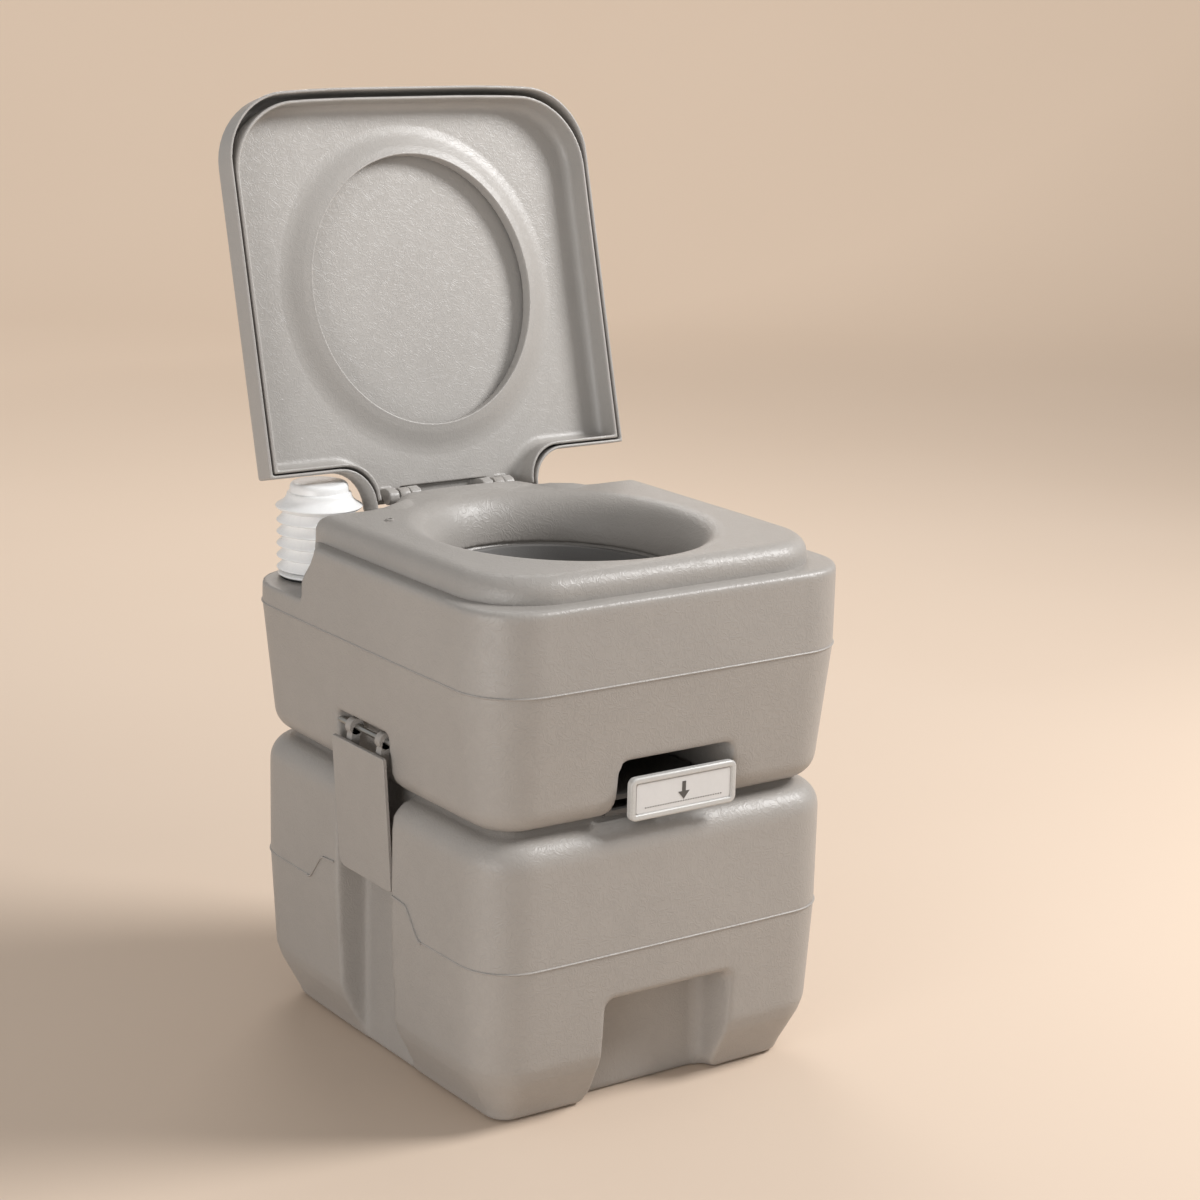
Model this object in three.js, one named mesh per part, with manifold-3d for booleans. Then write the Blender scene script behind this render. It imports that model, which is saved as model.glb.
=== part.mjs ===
// Portable camping toilet in millimetres, +Z up.
// The front with the pull handle faces -Y, the lid hinge is at the +Y side, the floor is z = 0
// and the origin is the middle of the foot. The lid and the seat are raised, as they are to use it.
import * as THREE from 'three';
import { mergeVertices } from 'three/addons/utils/BufferGeometryUtils.js';
import Module from 'manifold-3d';

const wasm = await Module();
wasm.setup();

// Sizes shared by the two tanks
const bodyWidth = 365;
const bodyDepth = 407;
const faceBow = 2.5;
const cornerRadius = 50;
const bowReachShare = 0.6;
const wall = 3;
const halfWidth = bodyWidth / 2;
const halfDepth = bodyDepth / 2;

// Gaps and working values
const seatGap = 0.3;
const runningGap = 0.3;
const overrun = 24;
const skim = 0.15;
const leastRadius = 0.5;
const arcShare = 0.3;
const levelStep = 4;
const roundSteps = 4;
const holeSides = 20;
const ovalSides = 24;

// Waste tank, the lower half
const waste = {
  shoulderHeight: 245,
  platformRise: 4.7,
  platformSlope: 6,
  sideInset: 6,
  taper: 5,
  taperHeight: 52,
  chamferRun: 25,
  chamferRise: 34,
  chamferTop: 40,
  footRadius: 4,
  shoulderRadius: 22,
  beltHeight: 139,
  topSplit: 223,
};
const belt = { proud: 0.8, halfHeight: 0.9 };
const wasteTop = waste.shoulderHeight + waste.platformRise;

// Hand recess at the foot of the waste tank's front
const handRecess = {
  offset: 3, halfWidth: 65, height: 97, depth: 50, draft: 3, flare: 7, flareHeight: 9,
  topRound: 9, entryRadius: 12, innerRadius: 10,
};

// Latch channels down both sides of the waste tank
const channel = { middle: -1.5, halfWidth: 43.5, depth: 36, draft: 3, entryRadius: 5, innerRadius: 4 };

// Fresh water tank, the upper half, with its deck
const fresh = {
  ledgeHeight: 184,
  deckRise: 21,
  stepDrop: 50,
  footRadius: 22,
  taper: 10,
  beltHeight: 116,
  ledgeRadius: 4,
  deckInset: 14.2,
  deckRadius: 15,
  deckExtraRadius: 12,
  grooveDepth: 1.2,
  grooveHeight: 1.6,
  deckSplitDrop: 9,
  wellMargin: 6,
};
const freshBottom = wasteTop + seatGap;
const stepHeight = fresh.ledgeHeight - fresh.stepDrop;
const deckSplit = fresh.ledgeHeight - fresh.deckSplitDrop;
const deckHeight = fresh.ledgeHeight + fresh.deckRise;

// Hand pump in the rear left corner and the corner steps cut to match it
const pumpInset = { side: 57.3, back: 41 };
const pump = {
  x: pumpInset.side - halfWidth,
  y: halfDepth - pumpInset.back,
  radius: 36.5, valleyRadius: 32.8, wallThickness: 1.8,
  ribs: 5, ribPitch: 10.4,
  holeRadius: 27, neckRadius: 26, neckWall: 3, neckDepth: 28,
  gasketInner: 28, gasketOuter: 33.5, gasketThickness: 1.5,
  flangeRadius: 35.5, flangeThickness: 3.6,
};
const ribEdgeShares = [0.36, 0.64];
const crown = {
  rimRadius: 37.5, rimHeight: 5, shoulderHeight: 12, capRadius: 24.6, height: 25.5,
  capRound: 4, wallThickness: 2.5, lip: 3,
};
const rimEdgeShares = [0.7, 1.1];
const notch = {
  gap: 29.5, riserRun: 16.5, rimRadius: 5, bendRadius: 12,
  footRimRun: 1.5, ledgeRimRun: 29.5, topRimRun: 44.5, footSlack: 4, topRound: 8,
};
const notchRadius = pump.radius + notch.gap;
const notchFrontY = pump.y - notchRadius;
const tongueHalf = -pump.x - notchRadius;

// Bowl, its opening in the deck and its seat in the tank
const bowl = {
  middleY: -30,
  wallThickness: 2.5,
  slack: 2,
  rimThickness: 2.7,
  outletLip: 2,
};
const opening = {
  sideMargin: 80.5, neckY: 114, neckDrop: 18, spreadX: 26, spreadY: 22, roundSteps: 5,
};
const neckX = halfWidth - opening.sideMargin;
const neckHeight = fresh.ledgeHeight - opening.neckDrop;
// Outside of the bowl as shares of the height and of the way out from the outlet to the opening's neck
const bowlHeightShares = [0.24, 0.36, 0.54, 0.78, 0.958];
const bowlWidthShares = [0.107, 0.357, 0.607, 0.803, 0.884];
const bowlDepthShares = [0.118, 0.383, 0.633, 0.824, 0.904];

// Waste valve on top of the waste tank
const valve = {
  holeRadius: 44, halfWidth: 56, railWidth: 6.5, plate: 4, frontInset: 25.5, backRun: 60,
  sealThickness: 2.1, sealWidth: 4, bladeThickness: 3, bladeSide: 0.5, bladeFrontRun: 50,
  bladeBackRun: 52, endWall: 4, neckHeight: 4.3, neckWall: 4,
  bowlSealThickness: 3.4,
};
const outletRadius = valve.holeRadius + bowl.outletLip;

// Tunnel under the fresh tank that goes over the waste valve
const tunnel = {
  offset: 3, sideGap: 5, height: 50, backGap: 15, flare: 6, flareHeight: 7, lean: 6,
  topRound: 6, entryRadius: 6, innerRadius: 10, splitRise: 6,
};
const baseSplit = tunnel.height + tunnel.splitRise;
const screw = { shankRadius: 1.5, holeRadius: 1.8, headRadius: 3, headHeight: 2, depth: 9 };
const screwPlaceShares = [[-1, 0.06], [1, 0.06], [-1, 0.94], [1, 0.94]];
const rod = { radius: 3.2, intoHandle: 8 };
const handle = {
  width: 105, height: 36, thickness: 5, lowGap: 1.3, cornerRadius: 6, offset: tunnel.offset,
  frameWidth: 5.5, recessDepth: 1.6, labelThickness: 1.2, bossRadius: 7, bossLength: 12,
};

// Latches that hold the two tanks together, one on each side
const latch = {
  width: 84, height: 116, thickness: 3.5, topHeight: 31, proud: 0.6, lean: 8,
  frontRadius: 3, rearRadius: 9, topRadius: 2,
  pivotInset: 12.5, pivotHeight: 41, earRadius: 7, earWidth: 8, earPlace: 24, earDrop: 19,
  pinRadius: 2.5, pinPocket: 2,
  hookHeight: 14, hookThickness: 8, hookCatch: 5, hookWidth: 20, hookDraft: 3,
  grooveWidth: 3, grooveDepth: 1, grooveLength: 20, groovePlace: 30, grooveDrop: 8,
};
const latchRecess = {
  middle: 4, halfWidth: 42, height: 50, depth: 24, draft: 1, flare: 7, flareHeight: 9,
  topRound: 5, entryRadius: 5, innerRadius: 5,
};
const keeper = { height: 12, taper: 6, reach: 19, width: 24, chamfer: 4.5, gap: 0.5, root: 1 };

// Hinge behind the bowl: two ears on the tank, two pins, seat knuckles outside and lid barrels inside
const hingeInset = { back: 53.7, ledge: 15.2 };
const hinge = {
  y: halfDepth - hingeInset.back, height: fresh.ledgeHeight + hingeInset.ledge, openAngle: 104.9,
  pocketFront: 18.8, pocketDepth: 27, pocketSide: 5,
  earInset: 5.2, earWidth: 10, earRadius: 9, stemFront: 9, stemBack: 5, stemRoot: 1,
  gap: 1, knuckleWidth: 10.5, knuckleRadius: 8, barrelWidth: 11, armFront: 17, armUnder: 4,
  pinRadius: 3, slotFront: 14,
};
const earOuter = tongueHalf - hinge.earInset;
const earInner = earOuter - hinge.earWidth;

// Seat and lid, drawn closed: the rim plane is at zero and rests over the tank's ledge
const rimGap = 0.6;
const lidReach = { front: 3, back: 26.3, tabBack: 10.2, tabGap: 2.7 };
const lid = {
  halfWidth, frontY: -halfDepth - lidReach.front, backY: hinge.y - lidReach.back, frontBow: 5, sideBow: 1.5,
  frontRadius: 58, backRadius: 9, tabHalf: -pump.x - crown.rimRadius - lidReach.tabGap,
  tabBackY: hinge.y + lidReach.tabBack, tabRadius: 30, tabCorner: 3, height: 32, edgeRadius: 12, wall: 2.6,
};
const seatInset = { side: 5, front: 8.5, back: 4, tabSide: 4, tabBack: 8, top: 4.5, holeX: 8.5, holeY: 5.5 };
const seat = {
  halfWidth: lid.halfWidth - seatInset.side, frontY: lid.frontY + seatInset.front,
  backY: lid.backY - seatInset.back, frontBow: 4, sideBow: 1,
  frontRadius: 62, backRadius: 8, tabHalf: lid.tabHalf - seatInset.tabSide,
  tabBackY: lid.tabBackY - seatInset.tabBack, tabRadius: 29, tabCorner: 3,
  height: lid.height - seatInset.top, edgeRadius: 11, wall: 3, sheet: 3.5,
  holeX: neckX + seatInset.holeX, holeY: opening.neckY + seatInset.holeY,
  flangeWall: 2.5, flangeDrop: 8.5,
};
const sideReachShare = 0.5;

// Filler cap on the right step and drain cap in a recess at the back of the waste tank
const filler = { neckOuter: 24.5, neckInner: 21, neckLength: 12 };
const drain = {
  x: 92, height: 183, neckOuter: 24.5, neckInner: 21, neckLength: 15,
  recessHalf: 42, recessBelow: 41, recessAbove: 40, recessDepth: 34, recessDraft: 3,
  entryRadius: 6, innerRadius: 12,
};
const cap = {
  slack: 0.5, wallThickness: 3.5, topThickness: 3, clearSkirt: 2, gasketThickness: 2,
  grips: 9, gripRadius: 2.6,
};

// Water path inside the fresh tank
const hose = {
  outer: 6, inner: 4.2, depth: 19, spigot: 5, angle: -60, startLead: 56, endLead: 26, sides: 8, runs: 9,
  plugHalf: 0.6,
};
const pickup = { outer: 6, inner: 4.2, floorGap: 9 };
const strainer = { radius: 11, height: 9, slots: 6, slotWidth: 3, slotHeight: 4, floorGap: 4 };
const nozzle = { outer: 5, inner: 3.4, angle: 140, drop: 26, inside: 5, outside: 13 };
const nozzleHeight = neckHeight - nozzle.drop;
const inletValve = { radius: 14, thickness: 1.5 };

const grey = { color: 0xa39b92, roughness: 0.48, metalness: 0 };
const paleGrey = { color: 0xaba49c, roughness: 0.45, metalness: 0 };
const darkGrey = { color: 0x55524f, roughness: 0.55, metalness: 0 };
const white = { color: 0xebe8e4, roughness: 0.35, metalness: 0 };
const rubber = { color: 0x232323, roughness: 0.8, metalness: 0 };
const steel = { color: 0xb9b9b6, roughness: 0.3, metalness: 1 };
const clear = { color: 0xd8dedd, roughness: 0.25, metalness: 0 };

// Closed outlines and lofts

function corner(x, y, radius, steps = roundSteps) {
  return { x, y, radius, steps };
}

function bend(x, y, reach, steps) {
  return { x, y, reach, steps };
}

// Points round a list of corners taken anticlockwise, drawn inset by one distance
function outline(corners, inset = 0) {
  const points = [];
  corners.forEach((here, i) => {
    const before = corners[(i + corners.length - 1) % corners.length];
    const after = corners[(i + 1) % corners.length];
    const into = new THREE.Vector2(here.x - before.x, here.y - before.y).normalize();
    const out = new THREE.Vector2(after.x - here.x, after.y - here.y).normalize();
    const turn = Math.atan2(into.cross(out), into.dot(out));
    const side = Math.sign(turn);
    const halfTan = Math.tan(Math.abs(turn) / 2);
    const drawn = here.reach ? here.reach / halfTan : here.radius;
    const radius = Math.max(drawn - side * inset, leastRadius);
    const leftIn = new THREE.Vector2(-into.y, into.x);
    const leftOut = new THREE.Vector2(-out.y, out.x);
    const shift = leftIn.clone().add(leftOut).multiplyScalar(inset / (1 + leftIn.dot(leftOut)));
    const start = new THREE.Vector2(here.x, here.y).add(shift).addScaledVector(into, -radius * halfTan);
    const centre = start.clone().addScaledVector(leftIn, side * radius);
    for (let k = 0; k <= here.steps; k++) {
      points.push(start.clone().rotateAround(centre, (turn * k) / here.steps));
    }
  });
  return points;
}

function oval(radiusX, radiusY, middleY = 0, sides = ovalSides) {
  const points = [];
  for (let i = 0; i < sides; i++) {
    const angle = (2 * Math.PI * i) / sides;
    points.push(new THREE.Vector2(radiusX * Math.cos(angle), middleY + radiusY * Math.sin(angle)));
  }
  return points;
}

// A closed skin through outlines of equal point count, each at its own height
function loft(levels) {
  const count = levels[0].points.length;
  const positions = [];
  const indices = [];
  for (const { z, points } of levels) {
    for (const point of points) {
      positions.push(point.x, point.y, z);
    }
  }
  for (let i = 0; i + 1 < levels.length; i++) {
    for (let j = 0; j < count; j++) {
      const a = i * count + j;
      const b = i * count + ((j + 1) % count);
      indices.push(a, b, b + count, a, b + count, a + count);
    }
  }
  const last = (levels.length - 1) * count;
  for (const [a, b, c] of THREE.ShapeUtils.triangulateShape(levels[0].points, [])) {
    indices.push(c, b, a);
  }
  for (const [a, b, c] of THREE.ShapeUtils.triangulateShape(levels[levels.length - 1].points, [])) {
    indices.push(last + a, last + b, last + c);
  }
  const geometry = new THREE.BufferGeometry();
  geometry.setAttribute('position', new THREE.Float32BufferAttribute(positions, 3));
  geometry.setIndex(indices);
  return geometry;
}

function prism(points, low, high) {
  return loft([{ z: low, points }, { z: high, points }]);
}

// A body of revolution about Z through [radius, height] points
function turned(profile, sides = holeSides) {
  const points = profile.map(([radius, height]) => new THREE.Vector2(radius, height));
  return new THREE.LatheGeometry(points, sides).rotateX(Math.PI / 2);
}

function disc(radius, low, high, sides = holeSides) {
  return turned([[0, low], [radius, low], [radius, high], [0, high]], sides);
}

function ring(inner, outer, low, high, sides = holeSides) {
  return turned([[inner, low], [outer, low], [outer, high], [inner, high], [inner, low]], sides);
}

function block(lowX, highX, lowY, highY, lowZ, highZ) {
  const box = new THREE.BoxGeometry(highX - lowX, highY - lowY, highZ - lowZ);
  return box.translate((lowX + highX) / 2, (lowY + highY) / 2, (lowZ + highZ) / 2);
}

// A flat outline of [y, z] points pushed along X
function alongX(points, low, high) {
  const shape = new THREE.Shape(points.map(([y, z]) => new THREE.Vector2(y, z)));
  const geometry = new THREE.ExtrudeGeometry(shape, { depth: high - low, bevelEnabled: false });
  const axes = new THREE.Matrix4().makeBasis(
    new THREE.Vector3(0, 1, 0), new THREE.Vector3(0, 0, 1), new THREE.Vector3(1, 0, 0));
  return geometry.applyMatrix4(axes).translate(low, 0, 0);
}

// A flat outline of [x, z] points pushed along Y
function alongY(points, low, high) {
  const shape = new THREE.Shape(points.map(([x, z]) => new THREE.Vector2(x, z)));
  const geometry = new THREE.ExtrudeGeometry(shape, { depth: high - low, bevelEnabled: false });
  return geometry.rotateX(Math.PI / 2).translate(0, high, 0);
}

function circle(middleX, middleY, radius, sides = holeSides) {
  return Array.from({ length: sides }, (unused, i) => {
    const angle = (2 * Math.PI * i) / sides;
    return [middleX + radius * Math.cos(angle), middleY + radius * Math.sin(angle)];
  });
}

function mirrored(geometry) {
  const copy = geometry.clone().scale(-1, 1, 1);
  const index = Array.from(copy.index.array);
  for (let i = 0; i < index.length; i += 3) {
    [index[i], index[i + 1]] = [index[i + 1], index[i]];
  }
  copy.setIndex(index);
  return copy;
}

// Solids for joining and cutting

function solid(geometry) {
  const bare = new THREE.BufferGeometry();
  bare.setAttribute('position', geometry.attributes.position.clone());
  if (geometry.index) {
    bare.setIndex(geometry.index.clone());
  }
  const merged = mergeVertices(bare);
  const positions = merged.attributes.position;
  const triangles = [];
  let volume = 0;
  const corners = [new THREE.Vector3(), new THREE.Vector3(), new THREE.Vector3()];
  for (let i = 0; i < merged.index.count; i += 3) {
    const triangle = [0, 1, 2].map((k) => merged.index.getX(i + k));
    if (new Set(triangle).size === 3) {
      triangles.push(triangle);
      corners.forEach((point, k) => point.fromBufferAttribute(positions, triangle[k]));
      volume += corners[0].dot(corners[1].clone().cross(corners[2]));
    }
  }
  const facing = volume < 0 ? triangles.map(([a, b, c]) => [a, c, b]) : triangles;
  return new wasm.Manifold(new wasm.Mesh({
    numProp: 3,
    vertProperties: new Float32Array(positions.array),
    triVerts: new Uint32Array(facing.flat()),
  }));
}

function geometryOf(shape) {
  const mesh = shape.getMesh();
  const geometry = new THREE.BufferGeometry();
  geometry.setAttribute('position', new THREE.BufferAttribute(mesh.vertProperties, 3));
  geometry.setIndex(new THREE.BufferAttribute(mesh.triVerts, 1));
  geometry.computeVertexNormals();
  return geometry;
}

function join(...geometries) {
  return geometries.map(solid).reduce((whole, next) => whole.add(next));
}

function cut(whole, ...geometries) {
  return geometries.map(solid).reduce((rest, next) => rest.subtract(next), whole);
}

function piece(name, shape, material, place = [0, 0, 0]) {
  const geometry = shape.isBufferGeometry ? geometryOf(solid(shape)) : geometryOf(shape);
  const mesh = new THREE.Mesh(geometry, new THREE.MeshStandardMaterial(material));
  mesh.name = name;
  mesh.position.set(...place);
  return mesh;
}

// Outlines and side profiles of the tanks

function bodyCorners(extraRadius, cornerSteps, sideSteps) {
  const x = halfWidth;
  const y = halfDepth;
  const round = cornerRadius + extraRadius;
  const reachX = (x - round) * bowReachShare;
  const reachY = (y - round) * bowReachShare;
  return [
    bend(0, -y, reachX, sideSteps),
    corner(x - faceBow, -y + faceBow, round, cornerSteps),
    bend(x, 0, reachY, sideSteps),
    corner(x - faceBow, y - faceBow, round, cornerSteps),
    bend(0, y, reachX, sideSteps),
    corner(-x + faceBow, y - faceBow, round, cornerSteps),
    bend(-x, 0, reachY, sideSteps),
    corner(-x + faceBow, -y + faceBow, round, cornerSteps),
  ];
}

// Each level of a profile is [height, inset, extra corner radius]
function bodyLoft(profile, cornerSteps = roundSteps, sideSteps = 2) {
  return loft(profile.map(([z, inset, extra = 0]) => ({
    z, points: outline(bodyCorners(extra, cornerSteps, sideSteps), inset),
  })));
}

function footRound(low, inset, radius, steps) {
  return Array.from({ length: steps + 1 }, (unused, i) => {
    const angle = (Math.PI / 2) * (i / steps);
    return [low + radius * (1 - Math.cos(angle)), inset + radius * (1 - Math.sin(angle))];
  });
}

function topRound(high, inset, radius, steps, extra = 0) {
  return Array.from({ length: steps + 1 }, (unused, i) => {
    const angle = (Math.PI / 2) * (i / steps);
    return [high - radius + radius * Math.sin(angle), inset + radius * (1 - Math.cos(angle)), extra];
  });
}

function beltLevels(height, inset) {
  return [
    [height - belt.halfHeight, inset],
    [height, inset - belt.proud],
    [height + belt.halfHeight, inset],
  ];
}

function insetAt(profile, height) {
  for (let i = 0; i + 1 < profile.length; i++) {
    const [lowZ, lowInset] = profile[i];
    const [highZ, highInset] = profile[i + 1];
    if (height <= highZ && highZ > lowZ) {
      const share = Math.max((height - lowZ) / (highZ - lowZ), 0);
      return lowInset + (highInset - lowInset) * share;
    }
  }
  return profile[profile.length - 1][1];
}

// Levels of a cutter with those of the profile that lie between them, so that its rim follows the face
function withProfileHeights(levels, profile) {
  const all = [];
  levels.forEach((level, i) => {
    all.push(level);
    if (i + 1 < levels.length) {
      const [low, lowSpread] = level;
      const [high, highSpread] = levels[i + 1];
      for (const [z] of profile) {
        if (z > all[all.length - 1][0] + levelStep && z < high - levelStep) {
          all.push([z, lowSpread + ((highSpread - lowSpread) * (z - low)) / (high - low)]);
        }
      }
    }
  });
  return all;
}

// A cutting shape let into one face: turn 0 is the front, 180 the back, -90 the left, 90 the right
function pocket(form, profile, turn, along, depth, levels, grow = 0) {
  const faceDistance = turn % 180 === 0 ? halfDepth : halfWidth;
  const angle = THREE.MathUtils.degToRad(turn);
  return loft(withProfileHeights(levels, profile).map(([z, spread, profileZ = z]) => {
    const face = -faceDistance + insetAt(profile, profileZ) - skim;
    const half = form.halfWidth + spread;
    const entrySteps = grow ? 1 : 2;
    const margin = half + form.entryRadius + overrun;
    const corners = [
      corner(along - margin, -faceDistance - overrun, leastRadius, 1),
      corner(along + margin, -faceDistance - overrun, leastRadius, 1),
      corner(along + margin, face, leastRadius, 1),
      corner(along + half, face, form.entryRadius, entrySteps),
      corner(along + half - form.draft, -faceDistance + depth, form.innerRadius, 2),
      corner(along - half + form.draft, -faceDistance + depth, form.innerRadius, 2),
      corner(along - half, face, form.entryRadius, entrySteps),
      corner(along - margin, face, leastRadius, 1),
    ];
    const points = outline(corners, -grow);
    points.forEach((point) => point.rotateAround(new THREE.Vector2(), angle));
    return { z, points };
  }));
}

// Waste tank

const wasteFloorInset = waste.sideInset + waste.taper + waste.chamferRun;
const wasteProfile = [
  [0, wasteFloorInset + waste.footRadius],
  [waste.footRadius * arcShare, wasteFloorInset + waste.footRadius * arcShare],
  [waste.chamferTop - waste.chamferRise, wasteFloorInset - waste.footRadius * arcShare],
  [waste.chamferTop, waste.sideInset + waste.taper + waste.footRadius],
  [waste.taperHeight, waste.sideInset + waste.taper],
  ...beltLevels(waste.beltHeight, waste.sideInset),
  ...topRound(waste.shoulderHeight, waste.sideInset, waste.shoulderRadius, 3),
  [wasteTop, waste.sideInset + waste.shoulderRadius + waste.platformSlope],
];
const wasteCavityProfile = [
  [wall, wasteFloorInset + waste.footRadius],
  [waste.chamferTop, waste.sideInset + waste.taper + waste.footRadius + wall],
  [waste.taperHeight, waste.sideInset + waste.taper + wall],
  [waste.beltHeight, waste.sideInset + wall],
  ...topRound(waste.shoulderHeight - wall, waste.sideInset + wall, waste.shoulderRadius - wall, 2),
];

function handRecessCut(grow = 0) {
  const form = handRecess;
  const top = form.height + grow;
  return pocket(form, wasteProfile, 0, form.offset, form.depth, [
    [-overrun, form.flare, 0],
    [0, form.flare],
    [form.flareHeight, 0],
    [top - form.topRound, -form.draft],
    [top, -form.draft - form.topRound],
  ], grow);
}

function channelCut(turn, along, grow = 0) {
  return pocket(channel, wasteProfile, turn, along, channel.depth, [
    [-overrun, 0, 0],
    [0, 0],
    [wasteTop, 0],
    [wasteTop + overrun, 0, wasteTop],
  ], grow);
}

function drainRecessCut(grow = 0) {
  const form = { ...drain, halfWidth: drain.recessHalf, draft: drain.recessDraft };
  const low = drain.height - drain.recessBelow;
  const high = drain.height + drain.recessAbove;
  return pocket(form, wasteProfile, 180, -drain.x, drain.recessDepth, [
    [low - grow, -drain.innerRadius],
    [low + drain.innerRadius, 0],
    [high - drain.innerRadius, 0],
    [high + grow, -drain.innerRadius],
  ], grow);
}

const drainWallY = halfDepth - drain.recessDepth;

// Catch on the back wall of a channel, under which the latch hooks
function keeperShape() {
  const wallX = -halfWidth + channel.depth;
  const low = freshBottom + latch.topHeight - latch.height + latch.hookHeight + keeper.gap;
  return alongY([
    [wallX + keeper.root, low],
    [wallX - keeper.reach + keeper.chamfer, low],
    [wallX - keeper.reach, low + keeper.chamfer],
    [wallX - keeper.reach, low + keeper.height],
    [wallX + keeper.root, low + keeper.height + keeper.taper],
  ], channel.middle - keeper.width / 2, channel.middle + keeper.width / 2);
}

// A share of a tank's solid between two limits along each axis, cut off square
const whole = [-bodyDepth, bodyDepth];

function share(tank, [lowX, highX], [lowY, highY], [lowZ, highZ]) {
  return tank.intersect(solid(block(lowX, highX, lowY, highY, lowZ, highZ)));
}

// The moulded tank before it is taken apart into its floor, walls and top
function wasteTank() {
  const cavity = cut(
    solid(bodyLoft(wasteCavityProfile, 3, 1)),
    channelCut(-90, -channel.middle, wall),
    channelCut(90, channel.middle, wall),
    handRecessCut(wall),
    drainRecessCut(wall),
  );
  const shell = cut(
    solid(bodyLoft(wasteProfile)),
    channelCut(-90, -channel.middle),
    channelCut(90, channel.middle),
    handRecessCut(),
    drainRecessCut(),
  ).subtract(cavity);
  const neck = disc(drain.neckOuter, -wall / 2, drain.neckLength)
    .rotateX(-Math.PI / 2).translate(drain.x, drainWallY, drain.height);
  const bore = disc(drain.neckInner, -overrun, drain.neckLength + overrun)
    .rotateX(-Math.PI / 2).translate(drain.x, drainWallY, drain.height);
  const keepers = join(keeperShape(), mirrored(indexed(keeperShape())));
  const mouth = disc(valve.holeRadius, waste.shoulderHeight - overrun, wasteTop + overrun)
    .translate(0, bowl.middleY, 0);
  return cut(shell.add(solid(neck)).add(keepers), bore, mouth);
}

function wasteShares() {
  const tank = wasteTank();
  const reach = channel.halfWidth + channel.entryRadius + wall;
  const front = channel.middle - reach;
  const back = channel.middle + reach;
  const walls = [handRecess.flareHeight, waste.topSplit];
  return {
    waste_floor: share(tank, whole, whole, [-overrun, handRecess.flareHeight]),
    waste_front: share(tank, whole, [-bodyDepth, front], walls),
    waste_back: share(tank, whole, [back, bodyDepth], walls),
    waste_left: share(tank, [-bodyDepth, 0], [front, back], walls),
    waste_right: share(tank, [0, bodyDepth], [front, back], walls),
    waste_top: share(tank, whole, whole, [waste.topSplit, wasteTop + overrun]),
  };
}

// Fresh water tank

const freshProfile = [
  ...footRound(0, fresh.taper, fresh.footRadius, 3),
  ...beltLevels(fresh.beltHeight, 0),
  ...topRound(fresh.ledgeHeight, 0, fresh.ledgeRadius, 2),
  [fresh.ledgeHeight, fresh.deckInset + fresh.grooveDepth, fresh.deckExtraRadius],
  [fresh.ledgeHeight + fresh.grooveHeight, fresh.deckInset + fresh.grooveDepth, fresh.deckExtraRadius],
  [fresh.ledgeHeight + fresh.grooveHeight, fresh.deckInset, fresh.deckExtraRadius],
  ...topRound(deckHeight, fresh.deckInset, fresh.deckRadius, 3, fresh.deckExtraRadius),
];
const freshCavityProfile = [
  ...footRound(wall, fresh.taper + wall, fresh.footRadius - wall, 2),
  [fresh.beltHeight, wall],
  [fresh.ledgeHeight - wall, wall],
  [fresh.ledgeHeight - wall, fresh.deckInset + fresh.grooveDepth + wall, fresh.deckExtraRadius],
  ...topRound(deckHeight - wall, fresh.deckInset + fresh.grooveDepth + wall,
    fresh.deckRadius - wall, 2, fresh.deckExtraRadius),
];

// The rear corner that is cut down to a step, on the left as drawn
function notchCut(grow = 0) {
  const level = (z, rimY, frontY) => ({
    z: z - grow,
    points: outline([
      corner(-halfWidth - overrun, rimY, leastRadius, 1),
      corner(-halfWidth, rimY, notch.rimRadius, 2),
      corner(-halfWidth + notch.riserRun, frontY, notch.bendRadius, 3),
      corner(-tongueHalf, frontY, notchRadius, 6),
      corner(-tongueHalf, halfDepth + overrun, leastRadius, 1),
      corner(-halfWidth - overrun, halfDepth + overrun, leastRadius, 1),
    ], -grow),
  });
  const topY = notchFrontY - notch.topRound;
  const topRimY = notchFrontY - notch.topRimRun;
  return loft([
    level(stepHeight, notchFrontY - notch.footRimRun, notchFrontY + notch.footSlack),
    level(fresh.ledgeHeight, notchFrontY - notch.ledgeRimRun, notchFrontY),
    level(deckHeight - notch.topRound, topRimY, notchFrontY),
    level(deckHeight - notch.topRound * arcShare, topRimY, notchFrontY - notch.topRound * arcShare),
    level(deckHeight, topRimY, topY),
    level(deckHeight + overrun, topRimY, topY),
  ]);
}

function bowlReach(i) {
  return new THREE.Vector2(
    outletRadius + (neckX - outletRadius) * bowlWidthShares[i],
    outletRadius + (opening.neckY - outletRadius) * bowlDepthShares[i]);
}

function bowlLevels(grow) {
  return bowlHeightShares.map((share, i) => ({
    z: share * neckHeight,
    points: oval(bowlReach(i).x + grow, bowlReach(i).y + grow, bowl.middleY),
  }));
}

const bowlTop = bowlHeightShares[bowlHeightShares.length - 1] * neckHeight;

function wellCut(grow = 0) {
  const well = bowlLevels(bowl.slack + grow);
  well[0].z = fresh.footRadius;
  const flared = Array.from({ length: opening.roundSteps + 1 }, (unused, i) => {
    const angle = (Math.PI / 2) * (i / opening.roundSteps);
    return {
      z: neckHeight + (deckHeight - neckHeight) * Math.sin(angle) - grow,
      points: oval(
        neckX + opening.spreadX * (1 - Math.cos(angle)) + grow,
        opening.neckY + opening.spreadY * (1 - Math.cos(angle)) + grow,
        bowl.middleY,
      ),
    };
  });
  const seatLevel = {
    z: bowlTop - grow,
    points: oval(neckX + grow, opening.neckY + grow, bowl.middleY),
  };
  well[well.length - 1].z = bowlTop - grow;
  const over = { z: deckHeight + overrun, points: flared[flared.length - 1].points };
  return loft([...well, seatLevel, ...flared, over]);
}

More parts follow.
